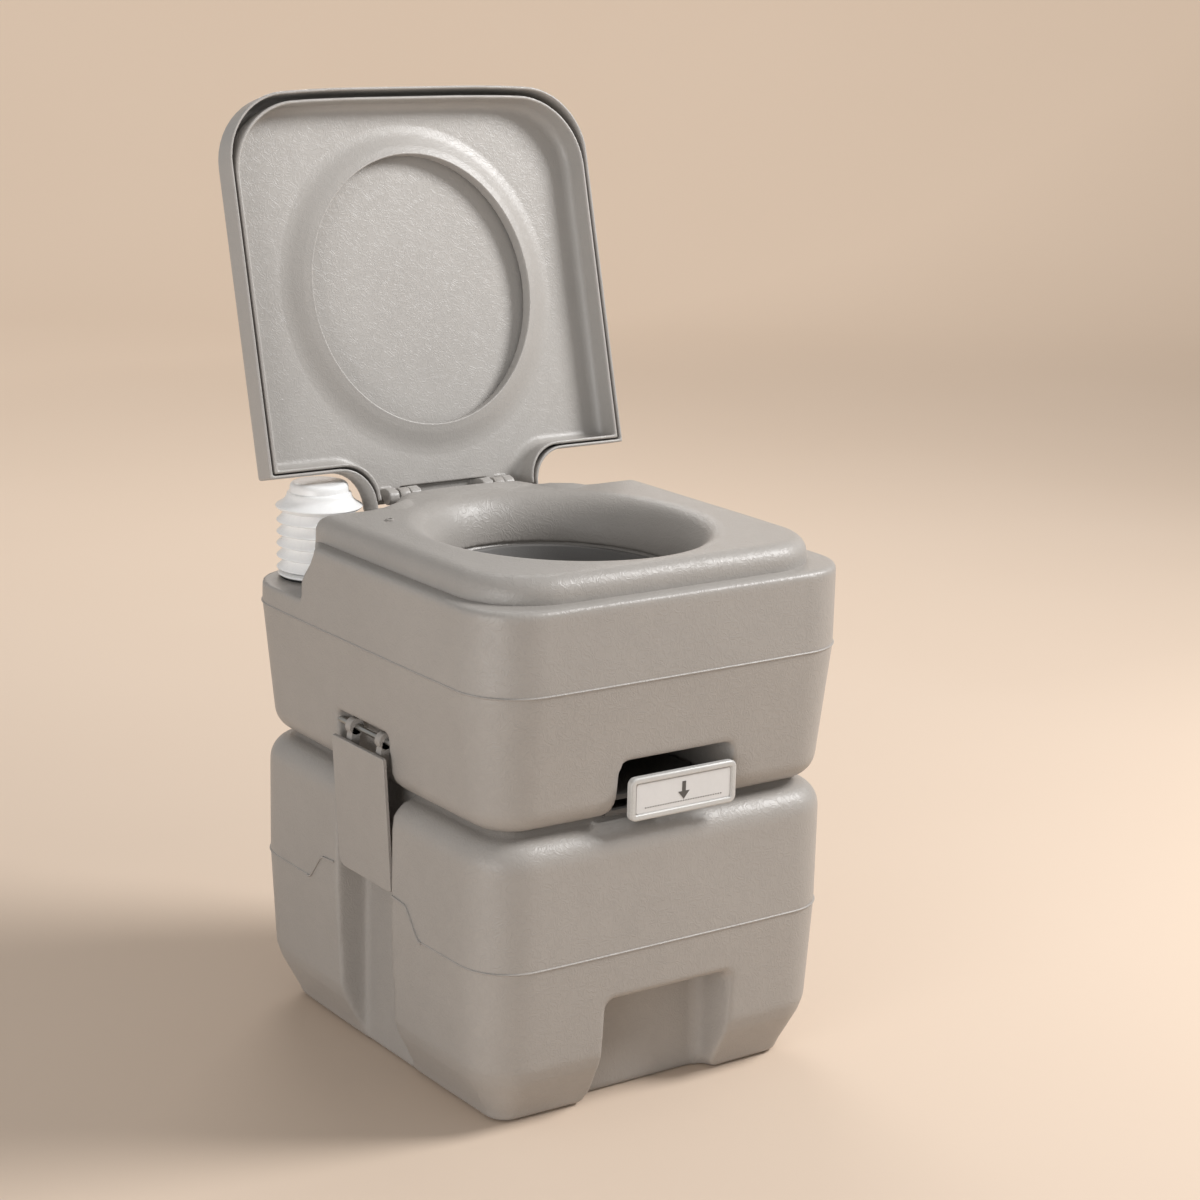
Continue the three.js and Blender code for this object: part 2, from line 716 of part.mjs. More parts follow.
function tunnelCut(grow = 0) {
  const top = tunnel.height + grow;
  const form = { ...tunnel, draft: 0, halfWidth: valve.halfWidth + tunnel.sideGap };
  const backY = bowl.middleY + valve.backRun + tunnel.backGap;
  return pocket(form, freshProfile, 0, tunnel.offset, halfDepth + backY, [
    [-overrun, tunnel.flare, 0],
    [0, tunnel.flare],
    [tunnel.flareHeight, 0],
    [top - tunnel.topRound, -tunnel.lean],
    [top, -tunnel.lean - tunnel.topRound],
  ], grow);
}

function latchRecessCut(turn, along, grow = 0) {
  const form = latchRecess;
  const top = form.height + grow;
  return pocket(form, freshProfile, turn, along, form.depth, [
    [-overrun, form.flare, 0],
    [0, form.flare],
    [form.flareHeight, 0],
    [top - form.topRound, -form.draft],
    [top, -form.draft - form.topRound],
  ], grow);
}

const latchPinHalf = latchRecess.halfWidth + latch.pinPocket - latchRecess.draft;

// The latch's pin on the left side, or the hole for it, between pockets in the recess's walls
function latchPin(gap = 0) {
  return disc(latch.pinRadius + gap, -latchPinHalf - gap, latchPinHalf + gap, 12)
    .rotateX(Math.PI / 2)
    .translate(-halfWidth + latch.pivotInset, latchRecess.middle, latch.pivotHeight);
}

// One ear of the lid hinge, standing on the shelf behind the bowl
function hingeEar(side) {
  const low = deckHeight - hinge.pocketDepth - hinge.stemRoot;
  const inner = side * earInner;
  const outer = side * earOuter;
  const from = Math.min(inner, outer);
  const to = Math.max(inner, outer);
  return join(
    alongX(circle(hinge.y, hinge.height, hinge.earRadius), from, to),
    block(from, to, hinge.y - hinge.stemFront, hinge.y + hinge.stemBack, low, hinge.height),
  );
}

function hingeBore(radius, half) {
  return alongX(circle(hinge.y, hinge.height, radius, 12), -half, half);
}

function shelfCut(grow = 0) {
  const half = lid.tabHalf + hinge.pocketSide;
  return block(-half, half, hinge.y - hinge.pocketFront - grow, halfDepth + overrun,
    deckHeight - hinge.pocketDepth - grow, deckHeight + overrun);
}

function nozzleTube(radius, extra = 0) {
  const angle = THREE.MathUtils.degToRad(nozzle.angle);
  const rim = bowlReach(bowlWidthShares.length - 1);
  const reach = new THREE.Vector2(Math.cos(angle) * rim.x, Math.sin(angle) * rim.y);
  const heading = Math.atan2(reach.y, reach.x);
  return disc(radius, -nozzle.inside - extra, nozzle.outside + extra, 12)
    .rotateY(Math.PI / 2)
    .rotateZ(heading)
    .translate(reach.x, bowl.middleY + reach.y, nozzleHeight);
}

// The moulded tank before it is taken apart into its base, walls, bowl well and deck
function freshTank() {
  const left = notchCut();
  const leftGrown = notchCut(wall);
  const cavity = cut(
    solid(bodyLoft(freshCavityProfile, 3, 1)),
    leftGrown,
    mirrored(leftGrown),
    wellCut(wall),
    tunnelCut(wall),
    latchRecessCut(-90, -latchRecess.middle, wall),
    latchRecessCut(90, latchRecess.middle, wall),
    shelfCut(wall),
  );
  const shell = cut(
    solid(bodyLoft(freshProfile)),
    left,
    mirrored(left),
    shelfCut(),
    wellCut(),
    tunnelCut(),
    latchRecessCut(-90, -latchRecess.middle),
    latchRecessCut(90, latchRecess.middle),
  ).subtract(cavity);
  const neck = disc(filler.neckOuter, stepHeight - wall / 2, stepHeight + filler.neckLength)
    .translate(-pump.x, pump.y, 0);
  const pinHole = indexed(latchPin(runningGap));
  return cut(
    shell.add(solid(neck)).add(hingeEar(-1)).add(hingeEar(1)),
    disc(pump.holeRadius, stepHeight - overrun, stepHeight + overrun)
      .translate(pump.x, pump.y, 0),
    disc(filler.neckInner, stepHeight - overrun, stepHeight + overrun)
      .translate(-pump.x, pump.y, 0),
    hingeBore(hinge.pinRadius + runningGap, earOuter + overrun),
    pinHole,
    mirrored(pinHole),
    nozzleTube(nozzle.outer + runningGap),
  );
}

function freshShares() {
  const tank = freshTank();
  const middle = share(tank, whole, whole, [baseSplit, deckSplit]);
  const around = solid(prism(
    oval(neckX + fresh.wellMargin, opening.neckY + fresh.wellMargin, bowl.middleY),
    baseSplit - overrun, deckSplit + overrun));
  return {
    fresh_base: share(tank, whole, whole, [-overrun, baseSplit]),
    fresh_walls: middle.subtract(around),
    fresh_well: middle.intersect(around),
    fresh_deck: share(tank, whole, whole, [deckSplit, deckHeight + overrun]),
  };
}

function indexed(geometry) {
  const bare = new THREE.BufferGeometry();
  bare.setAttribute('position', geometry.attributes.position.clone());
  if (geometry.index) {
    bare.setIndex(geometry.index.clone());
  }
  return mergeVertices(bare);
}

// Bowl insert that drops in from above onto a ledge in the tank's well

function bowlInsert() {
  const outletBottom = coverTop + valve.neckHeight + seatGap + valve.bowlSealThickness + seatGap;
  const rimLow = bowlTop + seatGap;
  const rim = oval(neckX - bowl.slack, opening.neckY - bowl.slack, bowl.middleY);
  const body = bowlLevels(0);
  const inner = bowlLevels(-bowl.wallThickness);
  const outlet = oval(outletRadius, outletRadius, bowl.middleY);
  const bore = oval(outletRadius - bowl.wallThickness, outletRadius - bowl.wallThickness, bowl.middleY);
  const outside = loft([
    { z: outletBottom, points: outlet },
    ...body,
    { z: rimLow, points: body[body.length - 1].points },
    { z: rimLow, points: rim },
    { z: rimLow + bowl.rimThickness, points: rim },
  ]);
  const inside = loft([
    { z: outletBottom - overrun, points: bore },
    { z: outletBottom, points: bore },
    ...inner,
    { z: rimLow + overrun, points: inner[inner.length - 1].points },
  ]);
  return cut(solid(outside), inside, nozzleTube(nozzle.outer + runningGap));
}

// Waste valve, drawn with its underside at zero and its port at the origin

const baseTop = valve.plate;
const bladeLow = baseTop + seatGap + valve.sealThickness + seatGap;
const bladeHigh = bladeLow + valve.bladeThickness;
const coverLow = bladeHigh + seatGap + valve.sealThickness + seatGap;
const coverTop = coverLow + valve.plate;
const valveFront = valve.frontInset - halfDepth - bowl.middleY;
const valveBack = valve.backRun;
const railTop = coverLow - seatGap;
const railMiddle = valve.halfWidth - valve.railWidth / 2;

function screwPlaces() {
  return screwPlaceShares.map(([side, share]) => [
    side * railMiddle, valveFront + (valveBack - valveFront) * share,
  ]);
}

function valveBase() {
  const inner = valve.halfWidth - valve.railWidth;
  const tray = solid(block(-valve.halfWidth, valve.halfWidth, valveFront, valveBack, 0, railTop));
  const holes = screwPlaces().map(([x, y]) =>
    disc(screw.holeRadius, coverTop - screw.depth - seatGap, railTop + overrun, 8).translate(x, y, 0));
  return cut(
    tray,
    block(-inner, inner, valveFront - overrun, valveBack - valve.endWall, baseTop, railTop + overrun),
    disc(valve.holeRadius, -overrun, overrun),
    ...holes,
  );
}

function valveCover() {
  const lowPlate = block(-valve.halfWidth, valve.halfWidth, valveFront, valveBack, coverLow, coverTop);
  const neck = disc(valve.holeRadius + valve.neckWall, coverLow, coverTop + valve.neckHeight);
  const holes = screwPlaces().map(([x, y]) =>
    disc(screw.holeRadius, coverLow - overrun, coverTop + overrun, 8).translate(x, y, 0));
  return cut(join(lowPlate, neck), disc(valve.holeRadius, -overrun, coverTop + overrun), ...holes);
}

function valveBlade() {
  const half = valve.halfWidth - valve.railWidth - valve.bladeSide;
  const front = -valve.bladeFrontRun;
  const back = valve.bladeBackRun;
  const points = outline([
    corner(-half, front, wall, 2),
    corner(half, front, wall, 2),
    corner(half, back, half / 2, 5),
    corner(-half, back, half / 2, 5),
  ]);
  return prism(points, bladeLow, bladeHigh);
}

function valveSeal() {
  return ring(valve.holeRadius + runningGap, valve.holeRadius + valve.sealWidth, 0, valve.sealThickness);
}

function valveScrew() {
  return join(
    disc(screw.headRadius, seatGap, seatGap + screw.headHeight, 10),
    disc(screw.shankRadius, -screw.depth, seatGap + screw.headHeight / 2, 8),
  );
}

const bladeMiddle = (bladeLow + bladeHigh) / 2;
const handleBack = -halfDepth + handle.thickness;
const rodFront = handleBack + handle.bossLength - rod.intoHandle;

function pullHandle() {
  const low = handle.lowGap;
  const half = handle.width / 2;
  const frame = outline([
    corner(handle.offset - half, low, handle.cornerRadius, 3),
    corner(handle.offset + half, low, handle.cornerRadius, 3),
    corner(handle.offset + half, low + handle.height, handle.cornerRadius, 3),
    corner(handle.offset - half, low + handle.height, handle.cornerRadius, 3),
  ]).map((point) => [point.x, point.y]);
  const plate = alongY(frame, -halfDepth, handleBack);
  const boss = disc(handle.bossRadius, -handle.thickness / 2, handle.bossLength, 16)
    .rotateX(-Math.PI / 2).translate(0, handleBack, bladeMiddle);
  const window = block(
    handle.offset - half + handle.frameWidth, handle.offset + half - handle.frameWidth,
    -halfDepth - overrun, -halfDepth + handle.recessDepth,
    low + handle.frameWidth, low + handle.height - handle.frameWidth);
  const socket = disc(rod.radius + runningGap, 0, overrun, 12)
    .rotateX(-Math.PI / 2).translate(0, rodFront - seatGap, bladeMiddle);
  return cut(join(plate, boss), window, socket);
}

function pullLabel() {
  const half = handle.width / 2 - handle.frameWidth - seatGap;
  const low = handle.lowGap + handle.frameWidth + seatGap;
  const high = handle.lowGap + handle.height - handle.frameWidth - seatGap;
  const back = -halfDepth + handle.recessDepth - seatGap;
  return block(handle.offset - half, handle.offset + half, back - handle.labelThickness, back, low, high);
}

function pullRod() {
  const back = bowl.middleY - valve.bladeFrontRun - seatGap;
  return disc(rod.radius, rodFront, back, 12).rotateX(-Math.PI / 2).translate(0, 0, bladeMiddle);
}

// Latch, drawn on the left side of the fresh tank with the tank's underside at zero

const latchOuterX = -halfWidth + latch.proud;

// How far the leaning plate has gone in at a height
function latchLean(z) {
  return latch.lean * (latch.topHeight - z) / latch.height;
}

function leaning(geometry) {
  const positions = geometry.attributes.position;
  for (let i = 0; i < positions.count; i++) {
    positions.setX(i, positions.getX(i) + latchLean(positions.getZ(i)));
  }
  return geometry;
}

function latchBody() {
  const innerX = latchOuterX + latch.thickness;
  const coreX = latchOuterX + latch.thickness / 2;
  const low = latch.topHeight - latch.height;
  const front = channel.middle - latch.width / 2;
  const back = channel.middle + latch.width / 2;
  const face = outline([
    corner(front, low, latch.frontRadius, 2),
    corner(back, low, latch.rearRadius, 4),
    corner(back, latch.topHeight, latch.topRadius, 2),
    corner(front, latch.topHeight, latch.topRadius, 2),
  ]).map((point) => [point.x, point.y]);
  const grooveMiddle = channel.middle + latch.groovePlace;
  const grooveTop = latch.topHeight - latch.grooveDrop;
  const groove = block(latchOuterX - overrun, latchOuterX + latch.grooveDepth,
    grooveMiddle - latch.grooveWidth / 2, grooveMiddle + latch.grooveWidth / 2,
    grooveTop - latch.grooveLength, grooveTop);
  let whole = cut(solid(leaning(alongX(face, latchOuterX, innerX))), leaning(groove));

  const pivotX = -halfWidth + latch.pivotInset;
  const armLow = latch.topHeight - latch.earDrop;
  const armHigh = latch.topHeight - latch.topRadius;
  const arm = [
    [coreX + latchLean(armLow), armLow],
    [pivotX + latch.earRadius, latch.pivotHeight],
    [pivotX - latch.earRadius / 2, latch.pivotHeight],
    [coreX + latchLean(armHigh), armHigh],
  ];
  for (const side of [-1, 1]) {
    const from = channel.middle + side * latch.earPlace - latch.earWidth / 2;
    const to = from + latch.earWidth;
    const ear = circle(pivotX, latch.pivotHeight, latch.earRadius, 12);
    whole = whole.add(solid(alongY(arm, from, to))).add(solid(alongY(ear, from, to)));
  }

  const hookTop = low + latch.hookHeight;
  const hookLow = hookTop - latch.hookThickness;
  const tip = -halfWidth + channel.depth - keeper.reach + latch.hookCatch;
  const hook = [
    [coreX + latchLean(low), low + latch.hookDraft],
    [tip, hookLow],
    [tip, hookTop],
    [coreX + latchLean(hookTop), hookTop - latch.hookDraft],
  ];
  const hookHalf = latch.hookWidth / 2;
  whole = whole.add(solid(alongY(hook, channel.middle - hookHalf, channel.middle + hookHalf)));
  const bore = disc(latch.pinRadius + runningGap, -latch.width, latch.width, 12)
    .rotateX(Math.PI / 2).translate(pivotX, channel.middle, latch.pivotHeight);
  return cut(whole, bore);
}

// Seat and lid shells

function flapCorners(form, steps) {
  const back = form.backY;
  const halfLid = form.halfWidth;
  const frontReach = (halfLid - form.frontRadius) * sideReachShare;
  const sideReach = ((back - form.frontY) / 2 - form.frontRadius) * sideReachShare;
  const middleY = (form.frontY + back) / 2;
  return [
    bend(0, form.frontY, frontReach, 2),
    corner(halfLid - form.sideBow, form.frontY + form.frontBow, form.frontRadius, steps),
    bend(halfLid, middleY, sideReach, 2),
    corner(halfLid - form.sideBow, back, form.backRadius, 2),
    corner(form.tabHalf, back, form.tabRadius, 4),
    corner(form.tabHalf, form.tabBackY, form.tabCorner, 1),
    corner(-form.tabHalf, form.tabBackY, form.tabCorner, 1),
    corner(-form.tabHalf, back, form.tabRadius, 4),
    corner(-halfLid + form.sideBow, back, form.backRadius, 2),
    bend(-halfLid, middleY, sideReach, 2),
    corner(-halfLid + form.sideBow, form.frontY + form.frontBow, form.frontRadius, steps),
  ];
}

function flapLoft(form, profile, steps) {
  const corners = flapCorners(form, steps);
  return loft(profile.map(([z, inset]) => ({ z, points: outline(corners, inset) })));
}

// The space under the shell, open at the rim and behind the tab
function flapHollow(form, depth) {
  const radius = form.edgeRadius - form.wall;
  const space = flapLoft(form, [[-overrun, form.wall], ...topRound(depth, form.wall, radius, 2)], 4);
  const half = form.tabHalf - form.wall;
  return join(space, block(-half, half, form.backY, form.tabBackY + overrun, -overrun, depth));
}

const rimHeight = fresh.ledgeHeight + rimGap;
const axisOverRim = hinge.height - rimHeight;

function knuckle(from, to) {
  return alongX(circle(hinge.y, axisOverRim, hinge.knuckleRadius), from, to);
}

function seatShell() {
  const under = seat.height - seat.sheet;
  const shell = solid(flapLoft(seat, [[0, 0], ...topRound(seat.height, 0, seat.edgeRadius, 3)], 4));
  const flange = prism(
    oval(seat.holeX + seat.flangeWall, seat.holeY + seat.flangeWall, bowl.middleY),
    under - seat.flangeDrop, seat.height);
  const hole = prism(oval(seat.holeX, seat.holeY, bowl.middleY), -overrun, seat.height + overrun);
  const slotHalf = earInner + hinge.gap;
  const slot = block(-slotHalf, slotHalf, hinge.y - hinge.slotFront, seat.tabBackY + overrun,
    -overrun, seat.height + overrun);
  let whole = shell.subtract(flapHollow(seat, under)).add(solid(flange));
  whole = cut(whole, hole, slot);
  for (const side of [-1, 1]) {
    const near = side * (earOuter + hinge.gap);
    const far = side * knuckleEnd;
    const from = Math.min(near, far);
    const to = Math.max(near, far);
    whole = whole.add(solid(knuckle(from, to)));
    whole = whole.add(solid(block(from, to, hinge.y - hinge.armFront, hinge.y,
      axisOverRim + hinge.armUnder, under + seat.sheet / 2)));
  }
  return cut(whole, flapBore(knuckleEnd + hinge.gap));
}

const knuckleEnd = earOuter + hinge.gap + hinge.knuckleWidth;

function flapBore(half) {
  return alongX(circle(hinge.y, axisOverRim, hinge.pinRadius + runningGap, 12), -half, half);
}

function lidShell() {
  const under = lid.height - lid.wall;
  const shell = solid(flapLoft(lid, [[0, 0], ...topRound(lid.height, 0, lid.edgeRadius, 3)], 4));
  let whole = shell.subtract(flapHollow(lid, under));
  for (const side of [-1, 1]) {
    const near = side * (earInner - hinge.gap);
    const far = side * (earInner - hinge.gap - hinge.barrelWidth);
    const from = Math.min(near, far);
    const to = Math.max(near, far);
    whole = whole.add(solid(knuckle(from, to)));
    whole = whole.add(solid(block(from, to, hinge.y - hinge.knuckleRadius, hinge.y + hinge.knuckleRadius,
      axisOverRim, under + lid.wall / 2)));
  }
  return cut(whole, flapBore(earInner));
}

function hingePin(side) {
  const near = side * (earInner - hinge.gap - hinge.barrelWidth);
  const far = side * knuckleEnd;
  return alongX(circle(0, 0, hinge.pinRadius, 12), Math.min(near, far), Math.max(near, far));
}

// Pump pieces, drawn with the tank's step at zero and the pump's axis at the origin

const pumpFlangeLow = seatGap + pump.gasketThickness + seatGap;
const pumpFlangeTop = pumpFlangeLow + pump.flangeThickness;
const bellowsLow = pumpFlangeTop + seatGap;
const bellowsTop = bellowsLow + pump.ribs * pump.ribPitch;
const crownLow = bellowsTop + seatGap;

function pumpBase() {
  const floorTop = -pump.neckDepth + pump.neckWall;
  const inner = pump.neckRadius - pump.neckWall;
  const cup = turned([
    [pickup.outer + runningGap, -pump.neckDepth],
    [pump.neckRadius, -pump.neckDepth],
    [pump.neckRadius, pumpFlangeLow],
    [pump.flangeRadius, pumpFlangeLow],
    [pump.flangeRadius, pumpFlangeTop - pump.flangeThickness / 4],
    [pump.flangeRadius - pump.flangeThickness / 4, pumpFlangeTop],
    [inner, pumpFlangeTop],
    [inner, floorTop],
    [pickup.outer + runningGap, floorTop],
    [pickup.outer + runningGap, -pump.neckDepth],
  ]);
  const heading = THREE.MathUtils.degToRad(hose.angle);
  const spigot = disc(hose.outer, inner, pump.neckRadius + hose.spigot, 12)
    .rotateY(Math.PI / 2).rotateZ(heading).translate(0, 0, -hose.depth);
  const spigotBore = disc(hose.inner, 0, pump.neckRadius + hose.spigot + overrun, 12)
    .rotateY(Math.PI / 2).rotateZ(heading).translate(0, 0, -hose.depth);
  const inside = disc(inner, floorTop, 0);
  return cut(cut(join(cup, spigot), inside), spigotBore);
}

function bellows() {
  const outside = [[pump.valleyRadius, bellowsLow]];
  const inside = [];
  const thick = pump.wallThickness;
  for (let i = 0; i < pump.ribs; i++) {
    const low = bellowsLow + i * pump.ribPitch;
    outside.push([pump.radius, low + pump.ribPitch * ribEdgeShares[0]]);
    outside.push([pump.radius, low + pump.ribPitch * ribEdgeShares[1]]);
    outside.push([pump.valleyRadius, low + pump.ribPitch]);
    inside.push([pump.valleyRadius - thick, low]);
    inside.push([pump.radius - thick, low + pump.ribPitch / 2]);
  }
  inside.push([pump.valleyRadius - thick, bellowsTop]);
  return turned([...outside, ...inside.reverse(), outside[0]]);
}

function pumpCrown() {
  const thick = crown.wallThickness;
  const capTop = crown.height;
  return turned([
    [pump.valleyRadius - thick, 0],
    [pump.valleyRadius, 0],
    [crown.rimRadius, crown.rimHeight * rimEdgeShares[0]],
    [crown.rimRadius, crown.rimHeight * rimEdgeShares[1]],
    [crown.capRadius + crown.lip, crown.shoulderHeight - crown.lip / 2],
    [crown.capRadius, crown.shoulderHeight],
    [crown.capRadius, capTop - crown.capRound],
    [crown.capRadius - crown.capRound * arcShare, capTop - crown.capRound * arcShare],
    [crown.capRadius - crown.capRound, capTop],
    [0, capTop],
    [0, capTop - thick],
    [crown.capRadius - crown.capRound, capTop - thick],
    [crown.capRadius - thick, capTop - crown.capRound],
    [crown.capRadius - thick, crown.shoulderHeight],
    [pump.valleyRadius - thick, crown.rimHeight],
    [pump.valleyRadius - thick, 0],
  ]);
}

// Pickup tube from the pump down to the tank's floor
const pickupTop = stepHeight - pump.neckDepth + pump.neckWall - seatGap;
const pickupLow = wall + pickup.floorGap;

function footStrainer() {
  const body = ring(pickup.outer + runningGap, strainer.radius, 0, strainer.height);
  const slots = Array.from({ length: strainer.slots }, (unused, i) =>
    block(0, overrun, -strainer.slotWidth / 2, strainer.slotWidth / 2, 0, strainer.slotHeight)
      .translate(pickup.outer + runningGap + wall / 2, 0, -skim)
      .rotateZ((2 * Math.PI * i) / strainer.slots));
  return cut(solid(body), ...slots);
}

function flushHose() {
  const heading = THREE.MathUtils.degToRad(hose.angle);
  const reach = pump.neckRadius + hose.spigot + seatGap;
  const out = new THREE.Vector3(Math.cos(heading), Math.sin(heading), 0);
  const start = new THREE.Vector3(pump.x, pump.y, stepHeight - hose.depth).addScaledVector(out, reach);
  const angle = THREE.MathUtils.degToRad(nozzle.angle);
  const rim = bowlReach(bowlWidthShares.length - 1);
  const wellX = Math.cos(angle) * rim.x;
  const wellY = Math.sin(angle) * rim.y;
  const away = new THREE.Vector3(wellX, wellY, 0).normalize();
  const end = new THREE.Vector3(wellX, bowl.middleY + wellY, nozzleHeight)
    .addScaledVector(away, nozzle.outside + seatGap);
  const route = new THREE.CubicBezierCurve3(
    start, start.clone().addScaledVector(out, hose.startLead),
    end.clone().addScaledVector(away, hose.endLead), end);
  const section = (radius) => new THREE.Shape(
    circle(0, 0, radius, hose.sides).map(([x, y]) => new THREE.Vector2(x, y)));
  const outside = new THREE.ExtrudeGeometry(section(hose.outer),
    { steps: hose.runs, extrudePath: route, bevelEnabled: false });
  const inside = new THREE.ExtrudeGeometry(section(hose.inner),
    { steps: hose.runs, extrudePath: route, bevelEnabled: false });
  return { outside, inside, start, end, out, away };
}

function flushHoseTube() {
  const { outside, inside, start, end, out, away } = flushHose();
  const plug = (place, along) => disc(hose.inner, -hose.plugHalf, hose.plugHalf, hose.sides)
    .rotateX(Math.PI / 2).rotateZ(Math.atan2(along.y, along.x) + Math.PI / 2)
    .translate(place.x, place.y, place.z);
  return cut(solid(outside), inside, plug(start, out), plug(end, away));
}

// Screw caps for the filler and the drain, drawn with the neck's foot at zero

function screwCap(form) {
  const inner = form.neckOuter + cap.slack;
  const outer = inner + cap.wallThickness;
  const top = form.neckLength + seatGap + cap.gasketThickness + seatGap;
  const body = turned([
    [inner, cap.clearSkirt],
    [outer, cap.clearSkirt],
    [outer, top + cap.topThickness / 2],
    [outer - cap.topThickness / 2, top + cap.topThickness],
    [0, top + cap.topThickness],
    [0, top],
    [inner, top],
    [inner, cap.clearSkirt],
  ], cap.grips * 2);
  const grips = Array.from({ length: cap.grips }, (unused, i) =>
    disc(cap.gripRadius, 0, top + cap.topThickness + overrun, 6)
      .translate(outer + cap.gripRadius / 2, 0, 0)
      .rotateZ((2 * Math.PI * i) / cap.grips));
  return cut(solid(body), ...grips);
}

function capGasket(form) {
  const low = form.neckLength + seatGap;
  return ring(form.neckInner, form.neckOuter - seatGap, low, low + cap.gasketThickness);
}

// Assembly

const toilet = new THREE.Group();

const lower = new THREE.Group();
for (const [name, shape] of Object.entries(wasteShares())) {
  lower.add(piece(name, shape, grey));
}
const valveGroup = new THREE.Group();
valveGroup.position.set(0, bowl.middleY, wasteTop + seatGap);
valveGroup.add(
  piece('valve_base', valveBase(), darkGrey),
  piece('valve_lower_seal', valveSeal(), rubber, [0, 0, baseTop + seatGap]),
  piece('valve_blade', valveBlade(), white),
  piece('valve_upper_seal', valveSeal(), rubber, [0, 0, bladeHigh + seatGap]),
  piece('valve_cover', valveCover(), darkGrey),
);
screwPlaces().forEach(([x, y], i) => {
  valveGroup.add(piece(`valve_screw_${i + 1}`, valveScrew(), steel, [x, y, coverTop]));
});
const pullGroup = new THREE.Group();
pullGroup.position.set(0, 0, wasteTop + seatGap);
pullGroup.add(
  piece('pull_rod', pullRod(), steel),
  piece('pull_handle', pullHandle(), white),
  piece('pull_label', pullLabel(), white),
);
const drainGroup = new THREE.Group();
drainGroup.position.set(drain.x, drainWallY, drain.height);
drainGroup.rotation.x = -Math.PI / 2;
drainGroup.add(
  piece('drain_cap', screwCap(drain), darkGrey),
  piece('drain_gasket', capGasket(drain), rubber),
);
lower.add(valveGroup, pullGroup, drainGroup);

const upper = new THREE.Group();
upper.position.z = freshBottom;
for (const [name, shape] of Object.entries(freshShares())) {
  upper.add(piece(name, shape, grey));
}
upper.add(
  piece('bowl', bowlInsert(), paleGrey),
  piece('bowl_seal', ring(valve.holeRadius, outletRadius + wall, 0, valve.bowlSealThickness), rubber,
    [0, bowl.middleY, coverTop + valve.neckHeight + seatGap]),
);
const leftLatch = indexed(geometryOf(latchBody()));
const leftPin = indexed(latchPin());
upper.add(
  piece('latch_left', leftLatch, grey),
  piece('latch_right', mirrored(leftLatch), grey),
  piece('latch_pin_left', leftPin, steel),
  piece('latch_pin_right', mirrored(leftPin), steel),
  piece('hinge_pin_left', hingePin(-1), steel, [0, hinge.y, hinge.height]),
  piece('hinge_pin_right', hingePin(1), steel, [0, hinge.y, hinge.height]),
  piece('pickup_tube', ring(pickup.inner, pickup.outer, pickupLow, pickupTop, 12), clear,
    [pump.x, pump.y, 0]),
  piece('foot_strainer', footStrainer(), darkGrey, [pump.x, pump.y, wall + strainer.floorGap]),
  piece('flush_hose', flushHoseTube(), clear),
  piece('flush_nozzle', cut(solid(nozzleTube(nozzle.outer)), nozzleTube(nozzle.inner, overrun)), darkGrey),
);

const pumpGroup = new THREE.Group();
pumpGroup.position.set(pump.x, pump.y, stepHeight);
pumpGroup.add(
  piece('pump_gasket', ring(pump.gasketInner, pump.gasketOuter, 0, pump.gasketThickness), rubber,
    [0, 0, seatGap]),
  piece('pump_base', pumpBase(), white),
  piece('pump_inlet_valve', disc(inletValve.radius, 0, inletValve.thickness), rubber,
    [0, 0, -pump.neckDepth + pump.neckWall + seatGap]),
  piece('pump_bellows', bellows(), white),
  piece('pump_crown', pumpCrown(), white, [0, 0, crownLow]),
);

const fillerGroup = new THREE.Group();
fillerGroup.position.set(-pump.x, pump.y, stepHeight);
fillerGroup.add(
  piece('filler_cap', screwCap(filler), darkGrey),
  piece('filler_gasket', capGasket(filler), rubber),
);

const flaps = new THREE.Group();
flaps.position.set(0, hinge.y, hinge.height);
flaps.rotation.x = -THREE.MathUtils.degToRad(hinge.openAngle);
flaps.add(
  piece('seat', seatShell(), paleGrey, [0, -hinge.y, -axisOverRim]),
  piece('lid', lidShell(), paleGrey, [0, -hinge.y, -axisOverRim]),
);
upper.add(pumpGroup, fillerGroup, flaps);

toilet.add(lower, upper);

export default toilet;
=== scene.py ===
import math

import bmesh
import bpy
from mathutils import Matrix, Vector


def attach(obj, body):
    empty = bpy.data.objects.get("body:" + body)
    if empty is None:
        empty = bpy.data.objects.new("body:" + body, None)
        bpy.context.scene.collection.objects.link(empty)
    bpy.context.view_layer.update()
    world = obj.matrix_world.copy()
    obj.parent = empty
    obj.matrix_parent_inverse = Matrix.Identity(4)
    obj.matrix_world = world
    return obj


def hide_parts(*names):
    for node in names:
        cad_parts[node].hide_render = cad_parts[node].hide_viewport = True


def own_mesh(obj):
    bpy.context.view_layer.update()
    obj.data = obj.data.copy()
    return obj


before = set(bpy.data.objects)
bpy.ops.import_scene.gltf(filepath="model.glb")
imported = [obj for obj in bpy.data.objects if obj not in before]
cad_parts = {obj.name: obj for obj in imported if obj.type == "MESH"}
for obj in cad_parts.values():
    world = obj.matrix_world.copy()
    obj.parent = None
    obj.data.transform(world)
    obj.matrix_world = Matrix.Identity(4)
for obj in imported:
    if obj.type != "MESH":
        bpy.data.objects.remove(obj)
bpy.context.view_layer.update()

# Portable camping toilet in metres, +Z up, its front with the pull handle towards -Y.

bpy.ops.object.select_all(action="DESELECT")

